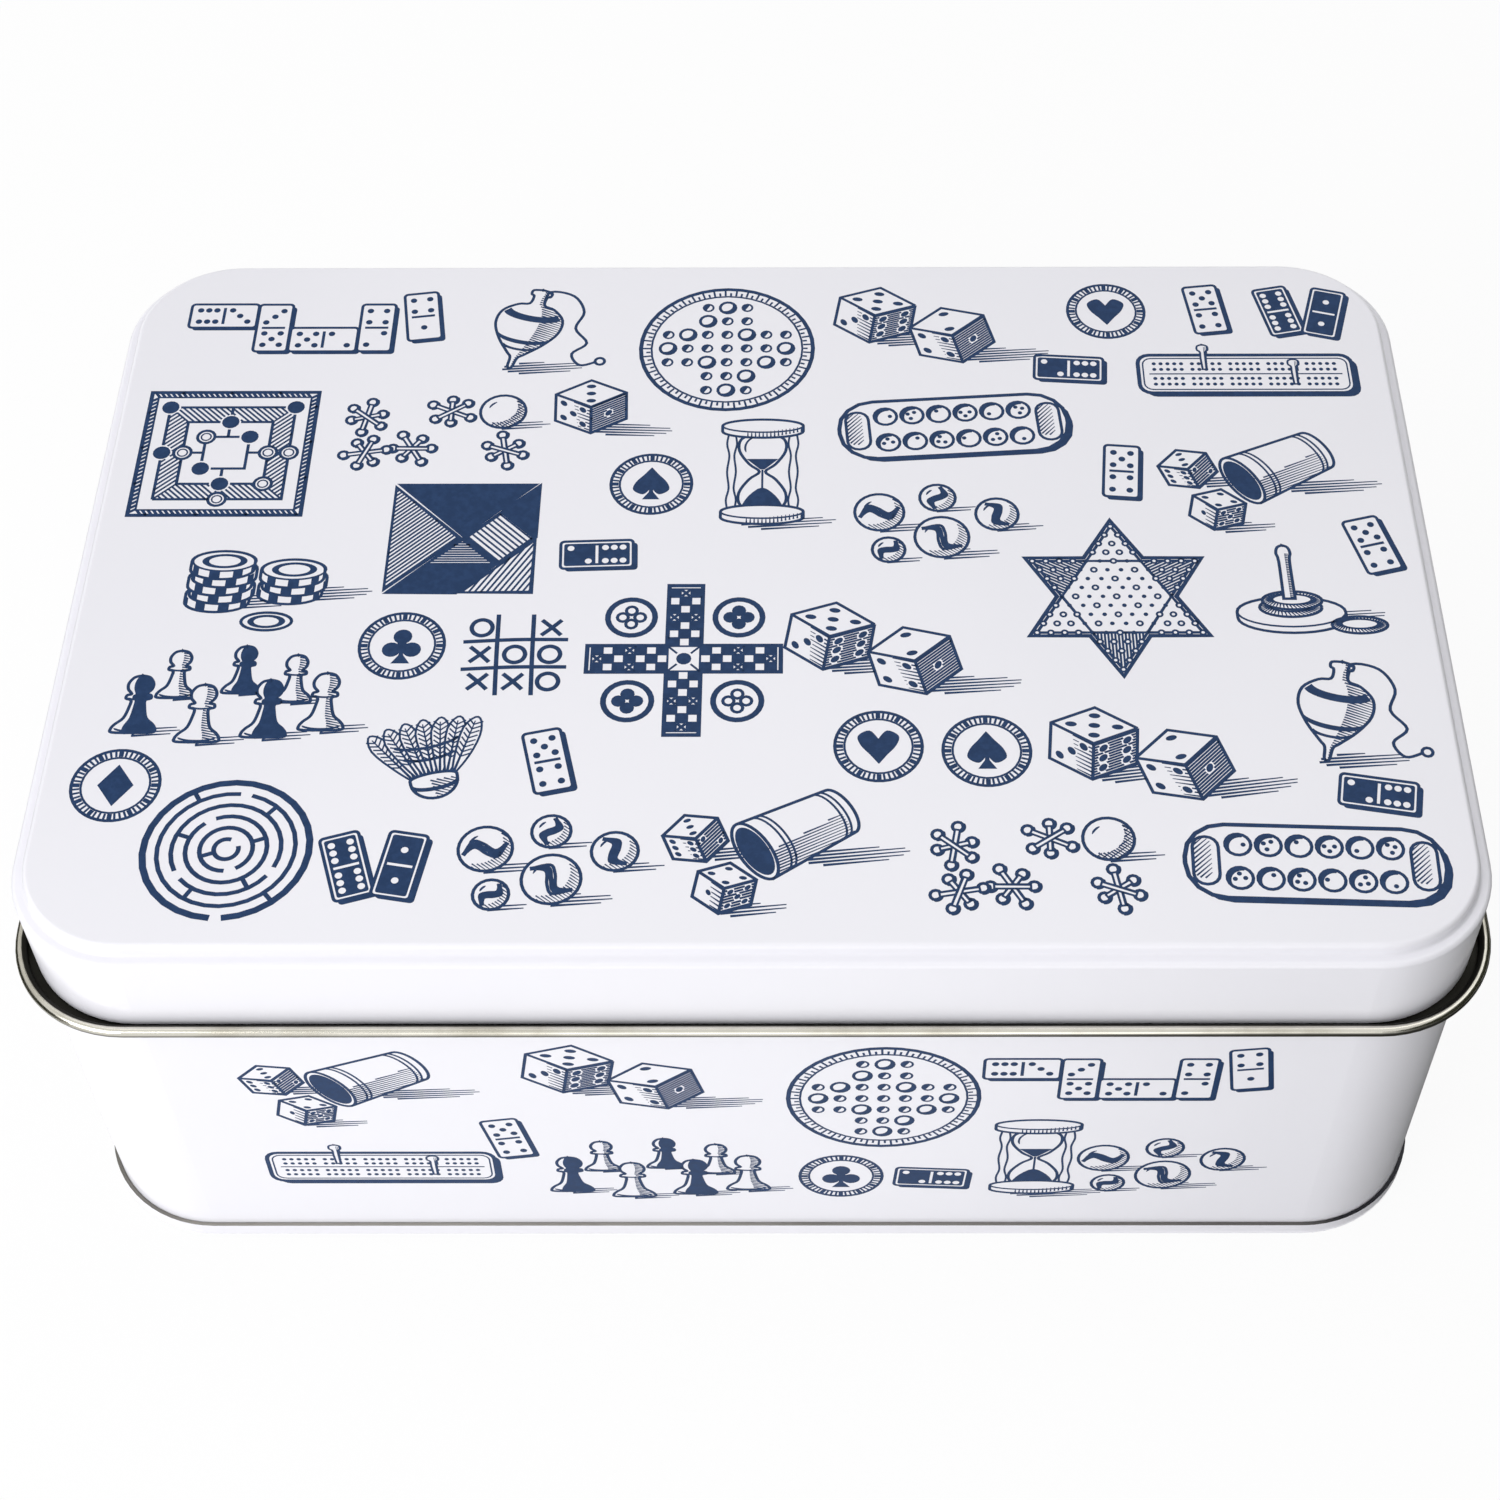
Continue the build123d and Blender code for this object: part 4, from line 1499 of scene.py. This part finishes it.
    def card_back(self) -> None:
        """Draw a lattice in a double frame, clear of the band round the deck's middle."""
        field, gap = rounded_box(0, 79, 54, 2.5), 3.4
        for step in range(-14, 15):
            for lean in (polar(45), polar(-45)):
                start, end = (complex(run, step * gap) * lean for run in (-70, 70))
                for chord in chords(start, end, field):
                    self.stroke(chord, Line.FINE)
        self.loop(field, Line.BOLD)
        self.loop(rounded_box(0, 82, 57, 3.6), Line.FINE)
        for column in range(-28, 28):
            for row in range(-28, 28):
                middle = complex(column + 0.5, row + 0.5) * gap * polar(45)
                clear = abs(complex(abs(middle.real) - 26, middle.imag)) > 10.2
                within = abs(middle.imag) < 25.6 and 13.6 < abs(middle.real) < 38
                if clear and within:
                    self.fill(moved(SIDES, 0.75, middle))
        for side in (-1, 1):
            self.rosette(side * 26, 8.4)
        self.cover(box_outline(0, 24.2, 62))


class Motif(Enum):
    """The things drawn in the print, by the method that draws each."""

    MORRIS = "morris_board"
    TANGRAM = "tangram"
    SOLITAIRE = "solitaire_board"
    STAR = "star_board"
    DICE = "dice_pair"
    DOMINOES = "domino_trail"
    PAWNS = "pawn_group"
    TOP = "spinning_top"
    JACKS = "jacks"
    NOUGHTS = "noughts"
    MARBLES = "marbles"
    SHAKER = "shaker"
    TIMER = "sand_timer"
    COUNTERS = "counters"
    PEGBOARD = "score_board"
    HEART = "heart_medal"
    SPADE = "spade_medal"
    DIAMOND = "diamond_medal"
    CLUB = "club_medal"
    SEEDS = "seed_board"
    MAZE = "labyrinth"
    QUOITS = "quoits"
    SHUTTLECOCK = "shuttlecock"
    RACE = "cross_board"
    UPRIGHT_TILE = "upright_tile"
    LEVEL_TILE = "level_tile"
    DOUBLE_TILE = "double_tile"
    DIE = "lone_die"
    CARD_BACK = "card_back"


@dataclass(frozen=True)
class Spot:
    """Where one motif stands on a sheet, in millimetres and degrees."""

    motif: Motif
    across: float = 0.0
    up: float = 0.0
    turn: float = 0.0


LID_SPOTS = (
    Spot(Motif.DOMINOES, -86, 60.5),
    Spot(Motif.TOP, -44, 62),
    Spot(Motif.SOLITAIRE, -6, 56),
    Spot(Motif.DICE, 29, 63),
    Spot(Motif.HEART, 66, 66),
    Spot(Motif.PEGBOARD, 91, 49),
    Spot(Motif.UPRIGHT_TILE, 85, 66.5, 4),
    Spot(Motif.DOUBLE_TILE, 103, 66),
    Spot(Motif.MORRIS, -97, 29),
    Spot(Motif.JACKS, -59, 35),
    Spot(Motif.DIE, -30, 39, -6),
    Spot(Motif.SEEDS, 36, 35.5, 4),
    Spot(Motif.LEVEL_TILE, 58, 50.5),
    Spot(Motif.TIMER, 1, 24),
    Spot(Motif.SPADE, -19, 21),
    Spot(Motif.SHAKER, 92, 24),
    Spot(Motif.UPRIGHT_TILE, 66, 24, -8),
    Spot(Motif.TANGRAM, -52, 8),
    Spot(Motif.COUNTERS, -87, -1),
    Spot(Motif.LEVEL_TILE, -28, 4, 6),
    Spot(Motif.MARBLES, 32, 12),
    Spot(Motif.STAR, 63, -6),
    Spot(Motif.QUOITS, 93, -4),
    Spot(Motif.UPRIGHT_TILE, 109, 6, 12),
    Spot(Motif.RACE, -12, -20),
    Spot(Motif.NOUGHTS, -41, -19),
    Spot(Motif.PAWNS, -89, -27),
    Spot(Motif.DICE, 20, -17),
    Spot(Motif.CLUB, -60.5, -17),
    Spot(Motif.SHUTTLECOCK, -54, -40, 14),
    Spot(Motif.TOP, 98, -31),
    Spot(Motif.DICE, 64, -40, 4),
    Spot(Motif.DIAMOND, -105, -47),
    Spot(Motif.MAZE, -85, -60),
    Spot(Motif.DOUBLE_TILE, -61, -63, 5),
    Spot(Motif.MARBLES, -33, -62),
    Spot(Motif.UPRIGHT_TILE, -34, -42, 10),
    Spot(Motif.SHAKER, 5, -58, 2),
    Spot(Motif.JACKS, 46, -62.5),
    Spot(Motif.HEART, 21, -39),
    Spot(Motif.SPADE, 39, -40),
    Spot(Motif.SEEDS, 91, -63, -2),
    Spot(Motif.LEVEL_TILE, 103, -49, -6),
)
FRONT_SPOTS = (
    Spot(Motif.SHAKER, -67, 15),
    Spot(Motif.PEGBOARD, -66, -14),
    Spot(Motif.DICE, -24, 17),
    Spot(Motif.PAWNS, -18, -14),
    Spot(Motif.UPRIGHT_TILE, -43, -4, 8),
    Spot(Motif.SOLITAIRE, 22, 9.5),
    Spot(Motif.LEVEL_TILE, 31, -18),
    Spot(Motif.CLUB, 15, -17.5),
    Spot(Motif.DOMINOES, 61, 14.5),
    Spot(Motif.TIMER, 49, -11),
    Spot(Motif.MARBLES, 71, -13),
)
BACK_SPOTS = (
    Spot(Motif.MORRIS, -72, 2),
    Spot(Motif.JACKS, -36, 10),
    Spot(Motif.COUNTERS, -38, -13),
    Spot(Motif.DIAMOND, -9, 14),
    Spot(Motif.DOUBLE_TILE, -8, -12),
    Spot(Motif.SEEDS, 26, 13, 3),
    Spot(Motif.DICE, 18, -15),
    Spot(Motif.SHUTTLECOCK, 52, -14, -10),
    Spot(Motif.TANGRAM, 76, 2),
)
RIGHT_SPOTS = (
    Spot(Motif.TOP, -38, 8),
    Spot(Motif.LEVEL_TILE, -36, -18),
    Spot(Motif.STAR, -4, 3),
    Spot(Motif.SHAKER, 36, 12),
    Spot(Motif.JACKS, 34, -15),
)
LEFT_SPOTS = (
    Spot(Motif.RACE, -36, 4),
    Spot(Motif.MARBLES, 2, 14),
    Spot(Motif.DICE, -2, -14),
    Spot(Motif.QUOITS, 38, -8),
    Spot(Motif.UPRIGHT_TILE, 42, 16, -10),
)


@dataclass
class PrintSheet:
    """One printed face of the tin: flat shapes of ink a hair above the lacquer."""

    name: str
    body: str
    onto: Matrix
    spots: Sequence[Spot]
    ink: bpy.types.Material
    ink_height: float = 0.02
    ink_depth: float = 0.035
    line_step: float = 0.0007
    vertices: list[Triple] = field(default_factory=list)
    faces: list[tuple[int, ...]] = field(default_factory=list)

    def ribbon(self, points: Sequence[Point], widths: Sequence[float], height: float) -> None:
        """Add a line with mitred corners.

        Args:
            points: The middle of the line.
            widths: Its width at each point.
            height: Its height above the sheet.
        """
        closed = abs(points[0] - points[-1]) < 1e-6 and len(points) > 3
        before = [points[-2] if closed else 2 * points[0] - points[1], *points[:-1]]
        after = [*points[1:], points[1] if closed else 2 * points[-1] - points[-2]]
        start = len(self.vertices)
        for behind, point, ahead, width in zip(before, points, after, widths):
            first = (point - behind) / (abs(point - behind) or 1.0)
            second = (ahead - point) / (abs(ahead - point) or 1.0)
            side = (first + second) * 1j
            side = side / abs(side) if abs(side) > 0.3 else first * 1j
            spread = max(0.6, abs((side.conjugate() * first * 1j).real))
            for edge in (side, -side):
                corner = point + edge * width / 2 / spread
                self.vertices.append((corner.real, corner.imag, height))
        for k in range(start, len(self.vertices) - 2, 2):
            self.faces.append((k, k + 1, k + 3, k + 2))

    def patch(self, loops: Sequence[Sequence[Point]], height: float) -> None:
        """Add an area, less what is left out of it.

        Args:
            loops: Its outline, then the outlines left out.
            height: Its height above the sheet.
        """
        flat = [Vector((p.real, p.imag)) for loop in loops for p in loop]
        edges: list[tuple[int, int]] = []
        for loop in loops:
            first = len(edges)
            edges += [(first + k, first + (k + 1) % len(loop)) for k in range(len(loop))]
        places, _, triangles, *_ = delaunay_2d_cdt(flat, edges, [], 0, 1e-5)
        start = len(self.vertices)
        self.vertices += [(place.x, place.y, height) for place in places]
        for corners in triangles:
            middle = sum(complex(*places[k]) for k in corners) / 3
            if inside(middle, loops[0]) and not any(inside(middle, hole) for hole in loops[1:]):
                self.faces.append(tuple(start + k for k in corners))

    def draw(self, pen: Pen, spot: Spot) -> None:
        """Add one drawn motif at its spot.

        Args:
            pen: The pen that has drawn the motif.
            spot: Where it stands.
        """
        place, turn = complex(spot.across, spot.up), polar(spot.turn)
        for area in pen.areas:
            self.patch([moved(loop, turn, place) for loop in area.loops], self.ink_height)
        for number, line in enumerate(pen.lines):
            points = moved(line.loops[0], turn, place)
            self.ribbon(points, line.widths, self.ink_height + self.line_step * (number % 9 + 1))

    def build(self) -> bpy.types.Object:
        """Draw all motifs and turn the flat sheet into closed raised shapes.

        Returns:
            The finished piece.
        """
        pens: dict[Motif, MotifPen] = {}
        for spot in self.spots:
            if spot.motif not in pens:
                pens[spot.motif] = MotifPen()
                getattr(pens[spot.motif], spot.motif.value)()
            self.draw(pens[spot.motif], spot)
        mesh = bpy.data.meshes.new(self.name)
        mesh.from_pydata(self.vertices, [], self.faces)
        piece = bpy.data.objects.new(self.name, mesh)
        bpy.context.scene.collection.objects.link(piece)
        bpy.context.view_layer.objects.active = piece
        thicken = piece.modifiers.new("ink_thickness", "SOLIDIFY")
        thicken.thickness = self.ink_depth
        thicken.offset = -1.0
        bpy.ops.object.modifier_apply(modifier=thicken.name)
        piece.data.transform(self.onto @ Matrix.Scale(MM, 4))
        piece.data.materials.append(self.ink)
        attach(piece, self.body)
        LOG.info("%s: %d motifs, %d faces", self.name, len(self.spots), len(piece.data.polygons))
        return piece


@dataclass
class DeckDress:
    """What one deck shows from above: its card back, its seal and the seal's print."""

    number: int
    suit: Motif
    paper: bpy.types.Material
    ink: bpy.types.Material
    radius: float = 10.2
    thickness: float = 0.16
    rim: float = 1.1
    emboss: float = 0.05
    notches: int = 36
    notch_share: float = 0.945

    def seal(self, centre: Vector) -> bpy.types.Object:
        """Model the notched paper seal on the band.

        Args:
            centre: The middle of the band's top, in metres.

        Returns:
            The finished seal.
        """
        bpy.ops.object.select_all(action="DESELECT")
        bpy.ops.mesh.primitive_cylinder_add(
            vertices=2 * self.notches,
            radius=self.radius * MM,
            depth=self.thickness * MM,
            location=centre + Vector((0.0, 0.0, self.thickness * MM / 2)),
        )
        piece = bpy.context.active_object
        piece.name = f"deck_seal_{self.number}"
        bpy.ops.object.transform_apply(location=True, rotation=True, scale=True)
        self.select(piece, [k // 2 % 2 == 1 for k in range(len(piece.data.vertices))])
        bpy.ops.transform.resize(
            value=(self.notch_share, self.notch_share, 1.0), center_override=centre
        )
        bpy.ops.mesh.select_all(action="DESELECT")
        bpy.ops.object.mode_set(mode="OBJECT")
        for face in piece.data.polygons:
            face.select = face.normal.z > 0.5
        bpy.ops.object.mode_set(mode="EDIT")
        bpy.ops.mesh.select_mode(type="FACE")
        bpy.ops.mesh.inset(thickness=self.rim * MM)
        bpy.ops.mesh.inset(thickness=self.emboss * MM, depth=self.emboss * MM)
        bpy.ops.object.mode_set(mode="OBJECT")
        piece.data.materials.append(self.paper)
        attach(piece, f"deck_{self.number}")
        LOG.info("%s: %d faces", piece.name, len(piece.data.polygons))
        return piece

    def select(self, piece: bpy.types.Object, chosen: Sequence[bool]) -> None:
        """Enter edit mode with the chosen vertices selected.

        Args:
            piece: The piece to edit.
            chosen: For each vertex, whether it is wanted.
        """
        bpy.ops.object.mode_set(mode="EDIT")
        bpy.ops.mesh.select_mode(type="VERT")
        bpy.ops.mesh.select_all(action="DESELECT")
        bpy.ops.object.mode_set(mode="OBJECT")
        for vertex, wanted in zip(piece.data.vertices, chosen):
            vertex.select = wanted
        bpy.ops.object.mode_set(mode="EDIT")

    def print_on(self, name: str, motif: Motif, place: Vector) -> None:
        """Print one motif on a level face of the deck.

        Args:
            name: What the print is called, before the deck number.
            motif: What it shows.
            place: The middle of the face, in metres.
        """
        sheet = PrintSheet(
            f"{name}_{self.number}",
            f"deck_{self.number}",
            Matrix.Translation(place),
            (Spot(motif),),
            self.ink,
        )
        sheet.build()

    def build(self) -> None:
        """Dress the deck."""
        low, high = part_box(f"card_deck_{self.number}")
        middle = (low + high) / 2
        band_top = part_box(f"deck_band_{self.number}")[1].z
        seal_top = band_top + (self.thickness + self.emboss) * MM
        self.print_on("card_back", Motif.CARD_BACK, Vector((middle.x, middle.y, high.z)))
        self.seal(Vector((middle.x, middle.y, band_top)))
        self.print_on("seal_print", self.suit, Vector((middle.x, middle.y, seal_top)))


@dataclass
class TinPrint:
    """The print on the lid and round the walls, in millimetres."""

    ink: bpy.types.Material
    wall_middle: float = 38.0

    def wall(self, turn: float, reach: float, centre: Vector) -> Matrix:
        """Return what stands a flat sheet against one wall.

        Args:
            turn: Degrees from the front wall, anticlockwise from above.
            reach: The distance from the tin's middle to the wall, in metres.
            centre: The tin's middle.

        Returns:
            The move from the sheet to the wall.
        """
        stand = Matrix.Rotation(math.pi / 2, 4, "X")
        out = Matrix.Translation((0.0, -reach, self.wall_middle * MM))
        middle = Matrix.Translation((centre.x, centre.y, 0.0))
        return middle @ Matrix.Rotation(math.radians(turn), 4, "Z") @ out @ stand

    def build(self) -> None:
        """Print the lid and the four walls."""
        low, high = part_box("lid_shell")
        centre = (low + high) / 2
        reach, side_reach = (high.y - low.y) / 2, (high.x - low.x) / 2
        top = Matrix.Translation((centre.x, centre.y, high.z))
        PrintSheet("lid_print", "lid", top, LID_SPOTS, self.ink).build()
        walls = (
            ("front", 0, reach, FRONT_SPOTS),
            ("right", 90, side_reach, RIGHT_SPOTS),
            ("back", 180, reach, BACK_SPOTS),
            ("left", 270, side_reach, LEFT_SPOTS),
        )
        for side, turn, out, spots in walls:
            onto = self.wall(turn, out, centre)
            PrintSheet(f"{side}_print", "tin_body", onto, spots, self.ink).build()


# --------------------------------------------------------------------- studio


@dataclass(frozen=True)
class Lamp:
    """A soft square lamp: its place and its side in metres, and its watts."""

    name: str
    place: Triple
    side: float
    watts: float


@dataclass(frozen=True)
class Flag:
    """A dark card beside the set, seen in reflections but not by the camera.

    Its place and its size, width and height, are in metres. A flat one lies level. One
    that is gloss_only keeps no soft light away. A fade is how far it thins out towards
    its left edge.
    """

    name: str
    place: Triple
    size: tuple[float, float]
    flat: bool = False
    gloss_only: bool = False
    fade: float = 0.0


LAMPS = (
    Lamp("left_lamp", (-0.6, -0.65, 0.5), 0.6, 4.1),
    Lamp("front_lamp", (0.05, -0.9, 0.25), 0.5, 0.75),
    Lamp("top_lamp", (-0.15, 0.4, 1.3), 0.9, 1.9),
    Lamp("far_lamp", (0.1, 0.9, 1.1), 0.9, 1.7),
    Lamp("back_lamp", (0.35, 0.3, 1.1), 0.8, 1.4),
)
FLAGS = (
    Flag("right_flag", (0.5, -0.05, 0.22), (1.4, 0.48)),
    Flag("right_mat", (0.21, -0.1, 0.0012), (0.42, 0.5), flat=True, gloss_only=True, fade=0.13),
    Flag("left_mat", (-0.31, 0.05, 0.0012), (0.18, 0.5), flat=True, gloss_only=True),
    Flag("left_flag", (-0.4, 0.0, 0.09), (0.6, 0.2), gloss_only=True),
    Flag("back_flag", (0.0, 1.0, 1.2), (1.5, 1.1)),
)
WHITE: Colour = (1.0, 1.0, 1.0)


@dataclass(frozen=True)
class Studio:
    """Camera, lamps, floor and sky, set as in the photograph.

    The sky and the floor light the tin as plain grey ones. The camera, and in part what
    the tin reflects, sees them white.
    """

    photo_side: float = 1500.0
    focal_pixels: float = 2679.5
    sensor: float = 36.0
    camera_place: Triple = (9.8, -313.4, 442.7)
    pitch: float = 52.192
    yaw: float = 0.3349
    roll: float = 0.3288
    centre_offset: tuple[float, float] = (51.7, 1.6)
    floor_side: float = 6.0
    floor_gap: float = 0.00002
    floor_colour: Colour = (0.9, 0.9, 0.9)
    floor_in_gloss: float = 0.85
    floor_white: float = 0.92
    sky_light: float = 0.72
    sky_in_gloss: float = 0.8
    flag_colour: Colour = (0.035, 0.038, 0.024)
    aim_height: float = 0.045

    def camera(self, tin_centre: Vector) -> None:
        """Place the camera as the photograph's perspective asks.

        Args:
            tin_centre: The middle of the tin's base, in metres.
        """
        pitch, yaw, roll = (math.radians(a) for a in (self.pitch, self.yaw, self.roll))
        forward = Vector(
            (
                -math.sin(yaw) * math.cos(pitch),
                math.cos(yaw) * math.cos(pitch),
                -math.sin(pitch),
            )
        )
        level = Vector((math.cos(yaw), math.sin(yaw), 0.0))
        upright = level.cross(forward)
        right = level * math.cos(roll) - upright * math.sin(roll)
        up = level * math.sin(roll) + upright * math.cos(roll)
        data = bpy.data.cameras.new("photo_camera")
        data.sensor_width = self.sensor
        data.lens = self.focal_pixels / self.photo_side * self.sensor
        data.shift_x = -self.centre_offset[0] / self.photo_side
        data.shift_y = self.centre_offset[1] / self.photo_side
        data.clip_start = 0.01
        camera = bpy.data.objects.new("photo_camera", data)
        turn = Matrix((right, up, -forward)).transposed().to_4x4()
        place = tin_centre + Vector(self.camera_place) * MM
        camera.matrix_world = Matrix.Translation(place) @ turn
        bpy.context.scene.collection.objects.link(camera)
        bpy.context.scene.camera = camera

    def lamp(self, lamp: Lamp, target: Vector) -> None:
        """Add one lamp that faces a target.

        Args:
            lamp: What is known of it.
            target: The point that it faces.
        """
        data = bpy.data.lights.new(lamp.name, "AREA")
        data.size = lamp.side
        data.energy = lamp.watts
        holder = bpy.data.objects.new(lamp.name, data)
        holder.location = lamp.place
        aim = target - holder.location
        holder.rotation_mode = "QUATERNION"
        holder.rotation_quaternion = aim.to_track_quat("-Z", "Y")
        bpy.context.scene.collection.objects.link(holder)

    def seen_directly(self, shader: Shader, in_gloss: float) -> Value:
        """Tell the rays that show the backdrop from those that light the object.

        Args:
            shader: The material or world being made.
            in_gloss: How much of the backdrop's own white shows in gloss and metal.

        Returns:
            1 where the backdrop is seen, in the picture or through glass.
        """
        rays = shader.node("LightPath", {}, {})
        camera, glossy, clear = (
            Value(shader, rays.outputs[name])
            for name in ("Is Camera Ray", "Is Glossy Ray", "Is Transmission Ray")
        )
        return camera + glossy * in_gloss + clear

    def sky(self) -> None:
        """Give the world a plain level of light and a white look."""
        shader = Shader("studio_sky", for_world=True)
        light, shown = (
            shader.value("Background", {}, {"Color": WHITE, "Strength": strength})
            for strength in (self.sky_light, 1.0)
        )
        mixed = shader.mix(self.seen_directly(shader, self.sky_in_gloss), light, shown)
        bpy.context.scene.world = shader.show(mixed)

    def floor(self) -> None:
        """Lay a pale floor that keeps a soft shadow."""
        bpy.ops.mesh.primitive_plane_add(
            size=self.floor_side, location=(0.0, 0.0, -self.floor_gap)
        )
        floor = bpy.context.active_object
        floor.name = "studio_floor"
        shader = Shader("studio_floor")
        matt = shader.value("BsdfDiffuse", {}, {"Color": self.floor_colour})
        white = shader.value("Emission", {}, {"Color": WHITE, "Strength": 1.0})
        shown = self.seen_directly(shader, self.floor_in_gloss) * self.floor_white
        floor.data.materials.append(shader.show(shader.mix(shown, matt, white)))

    def flag(self, flag: Flag, target: Vector) -> None:
        """Stand one dark card so that it faces a target, or lay it flat.

        Args:
            flag: What is known of it.
            target: The point that a standing one faces.
        """
        bpy.ops.mesh.primitive_plane_add(size=1.0)
        card = bpy.context.active_object
        card.name = flag.name
        place = Vector(flag.place)
        aim = Vector((0.0, 0.0, 1.0)) if flag.flat else target - place
        turn = aim.to_track_quat("Z", "Y").to_matrix().to_4x4()
        stretch = Matrix.Diagonal((*flag.size, 1.0, 1.0))
        card.data.transform(Matrix.Translation(place) @ turn @ stretch)
        shader = Shader(flag.name)
        matt = shader.value("BsdfDiffuse", {}, {"Color": self.flag_colour})
        clear = shader.value("BsdfTransparent", {}, {})
        edge = place.x - flag.size[0] / 2 + flag.fade / 2
        solid = shader.along("X").above(edge, flag.fade / 2) if flag.fade else 1.0
        card.data.materials.append(shader.show(shader.mix(solid, clear, matt)))
        card.visible_camera = False
        card.visible_shadow = False
        card.visible_diffuse = not flag.gloss_only

    def build(self, tin_centre: Vector) -> None:
        """Set up the whole studio.

        Args:
            tin_centre: The middle of the tin's base, in metres.
        """
        self.camera(tin_centre)
        self.sky()
        self.floor()
        target = tin_centre + Vector((0.0, 0.0, self.aim_height))
        for lamp in LAMPS:
            self.lamp(lamp, target)
        for flag in FLAGS:
            self.flag(flag, target)
        bpy.context.scene.view_settings.view_transform = "Standard"


def dress(node: bpy.types.Object, material: bpy.types.Material) -> None:
    """Give a CAD node one material."""
    node.data.materials.clear()
    node.data.materials.append(material)


def finishes(middle_y: float) -> dict[str, bpy.types.Material]:
    """Build the finish of each material slot of the CAD model.

    Args:
        middle_y: The Y of the tin's middle, in metres.

    Returns:
        The materials by slot.
    """
    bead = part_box("body_wall")[1].z + MM
    low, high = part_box("deck_band_1")
    blue, dusty_blue = srgb(38, 56, 98), srgb(48, 68, 110)
    made = (
        Lacquer(middle_y=middle_y),
        # this finish paints shade in the groove round the rim's bead and under it
        Tinplate("bare_tinplate", bead_middle=bead, middle_y=middle_y),
        Tinplate("hinge_steel", line_stretch=(1.0, 30.0, 1.0)),
        Tinplate("pin_wire", line_stretch=(0.1, 8.0, 8.0)),
        Tinplate("rivet_steel", roughness=0.35),
        TrayPlastic(),
        CardStack("card_stock", srgb(240, 238, 232), srgb(228, 225, 217)),
        BandPaper("band_paper", blue, dusty_blue, middle=abs(low.x + high.x) / 2),
    )
    return {finish.name: finish.material() for finish in made}


def main() -> None:
    """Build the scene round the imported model."""
    logging.basicConfig(level=logging.INFO, format="%(name)s: %(message)s")
    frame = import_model()
    bpy.ops.object.select_all(action="DESELECT")
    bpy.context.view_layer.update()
    low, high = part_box("lid_shell")
    middle_y = (low.y + high.y) / 2
    slots = finishes(middle_y)
    for part in frame["record"]["subparts"]:
        dress(frame["nodes"][part["node"]], slots[part["material_slot"]])
    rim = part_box("base_pan")[1].z
    # the base's finish paints seam shade on the rim's top edge
    base = Lacquer("base_lacquer", middle_y=middle_y, inner_is_up=True, edge_height=rim)
    dress(frame["nodes"]["base_pan"], base.material())
    ink = Ink().material()
    TinPrint(ink).build()
    seal_paper = Paper("seal_paper", srgb(236, 233, 222), srgb(224, 219, 205)).material()
    for number, suit in enumerate((Motif.HEART, Motif.SPADE, Motif.CLUB, Motif.DIAMOND), 1):
        DeckDress(number, suit, seal_paper, ink).build()
    low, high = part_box("body_wall")
    Studio().build(Vector(((low.x + high.x) / 2, (low.y + high.y) / 2, 0.0)))


if __name__ == "__main__":
    main()
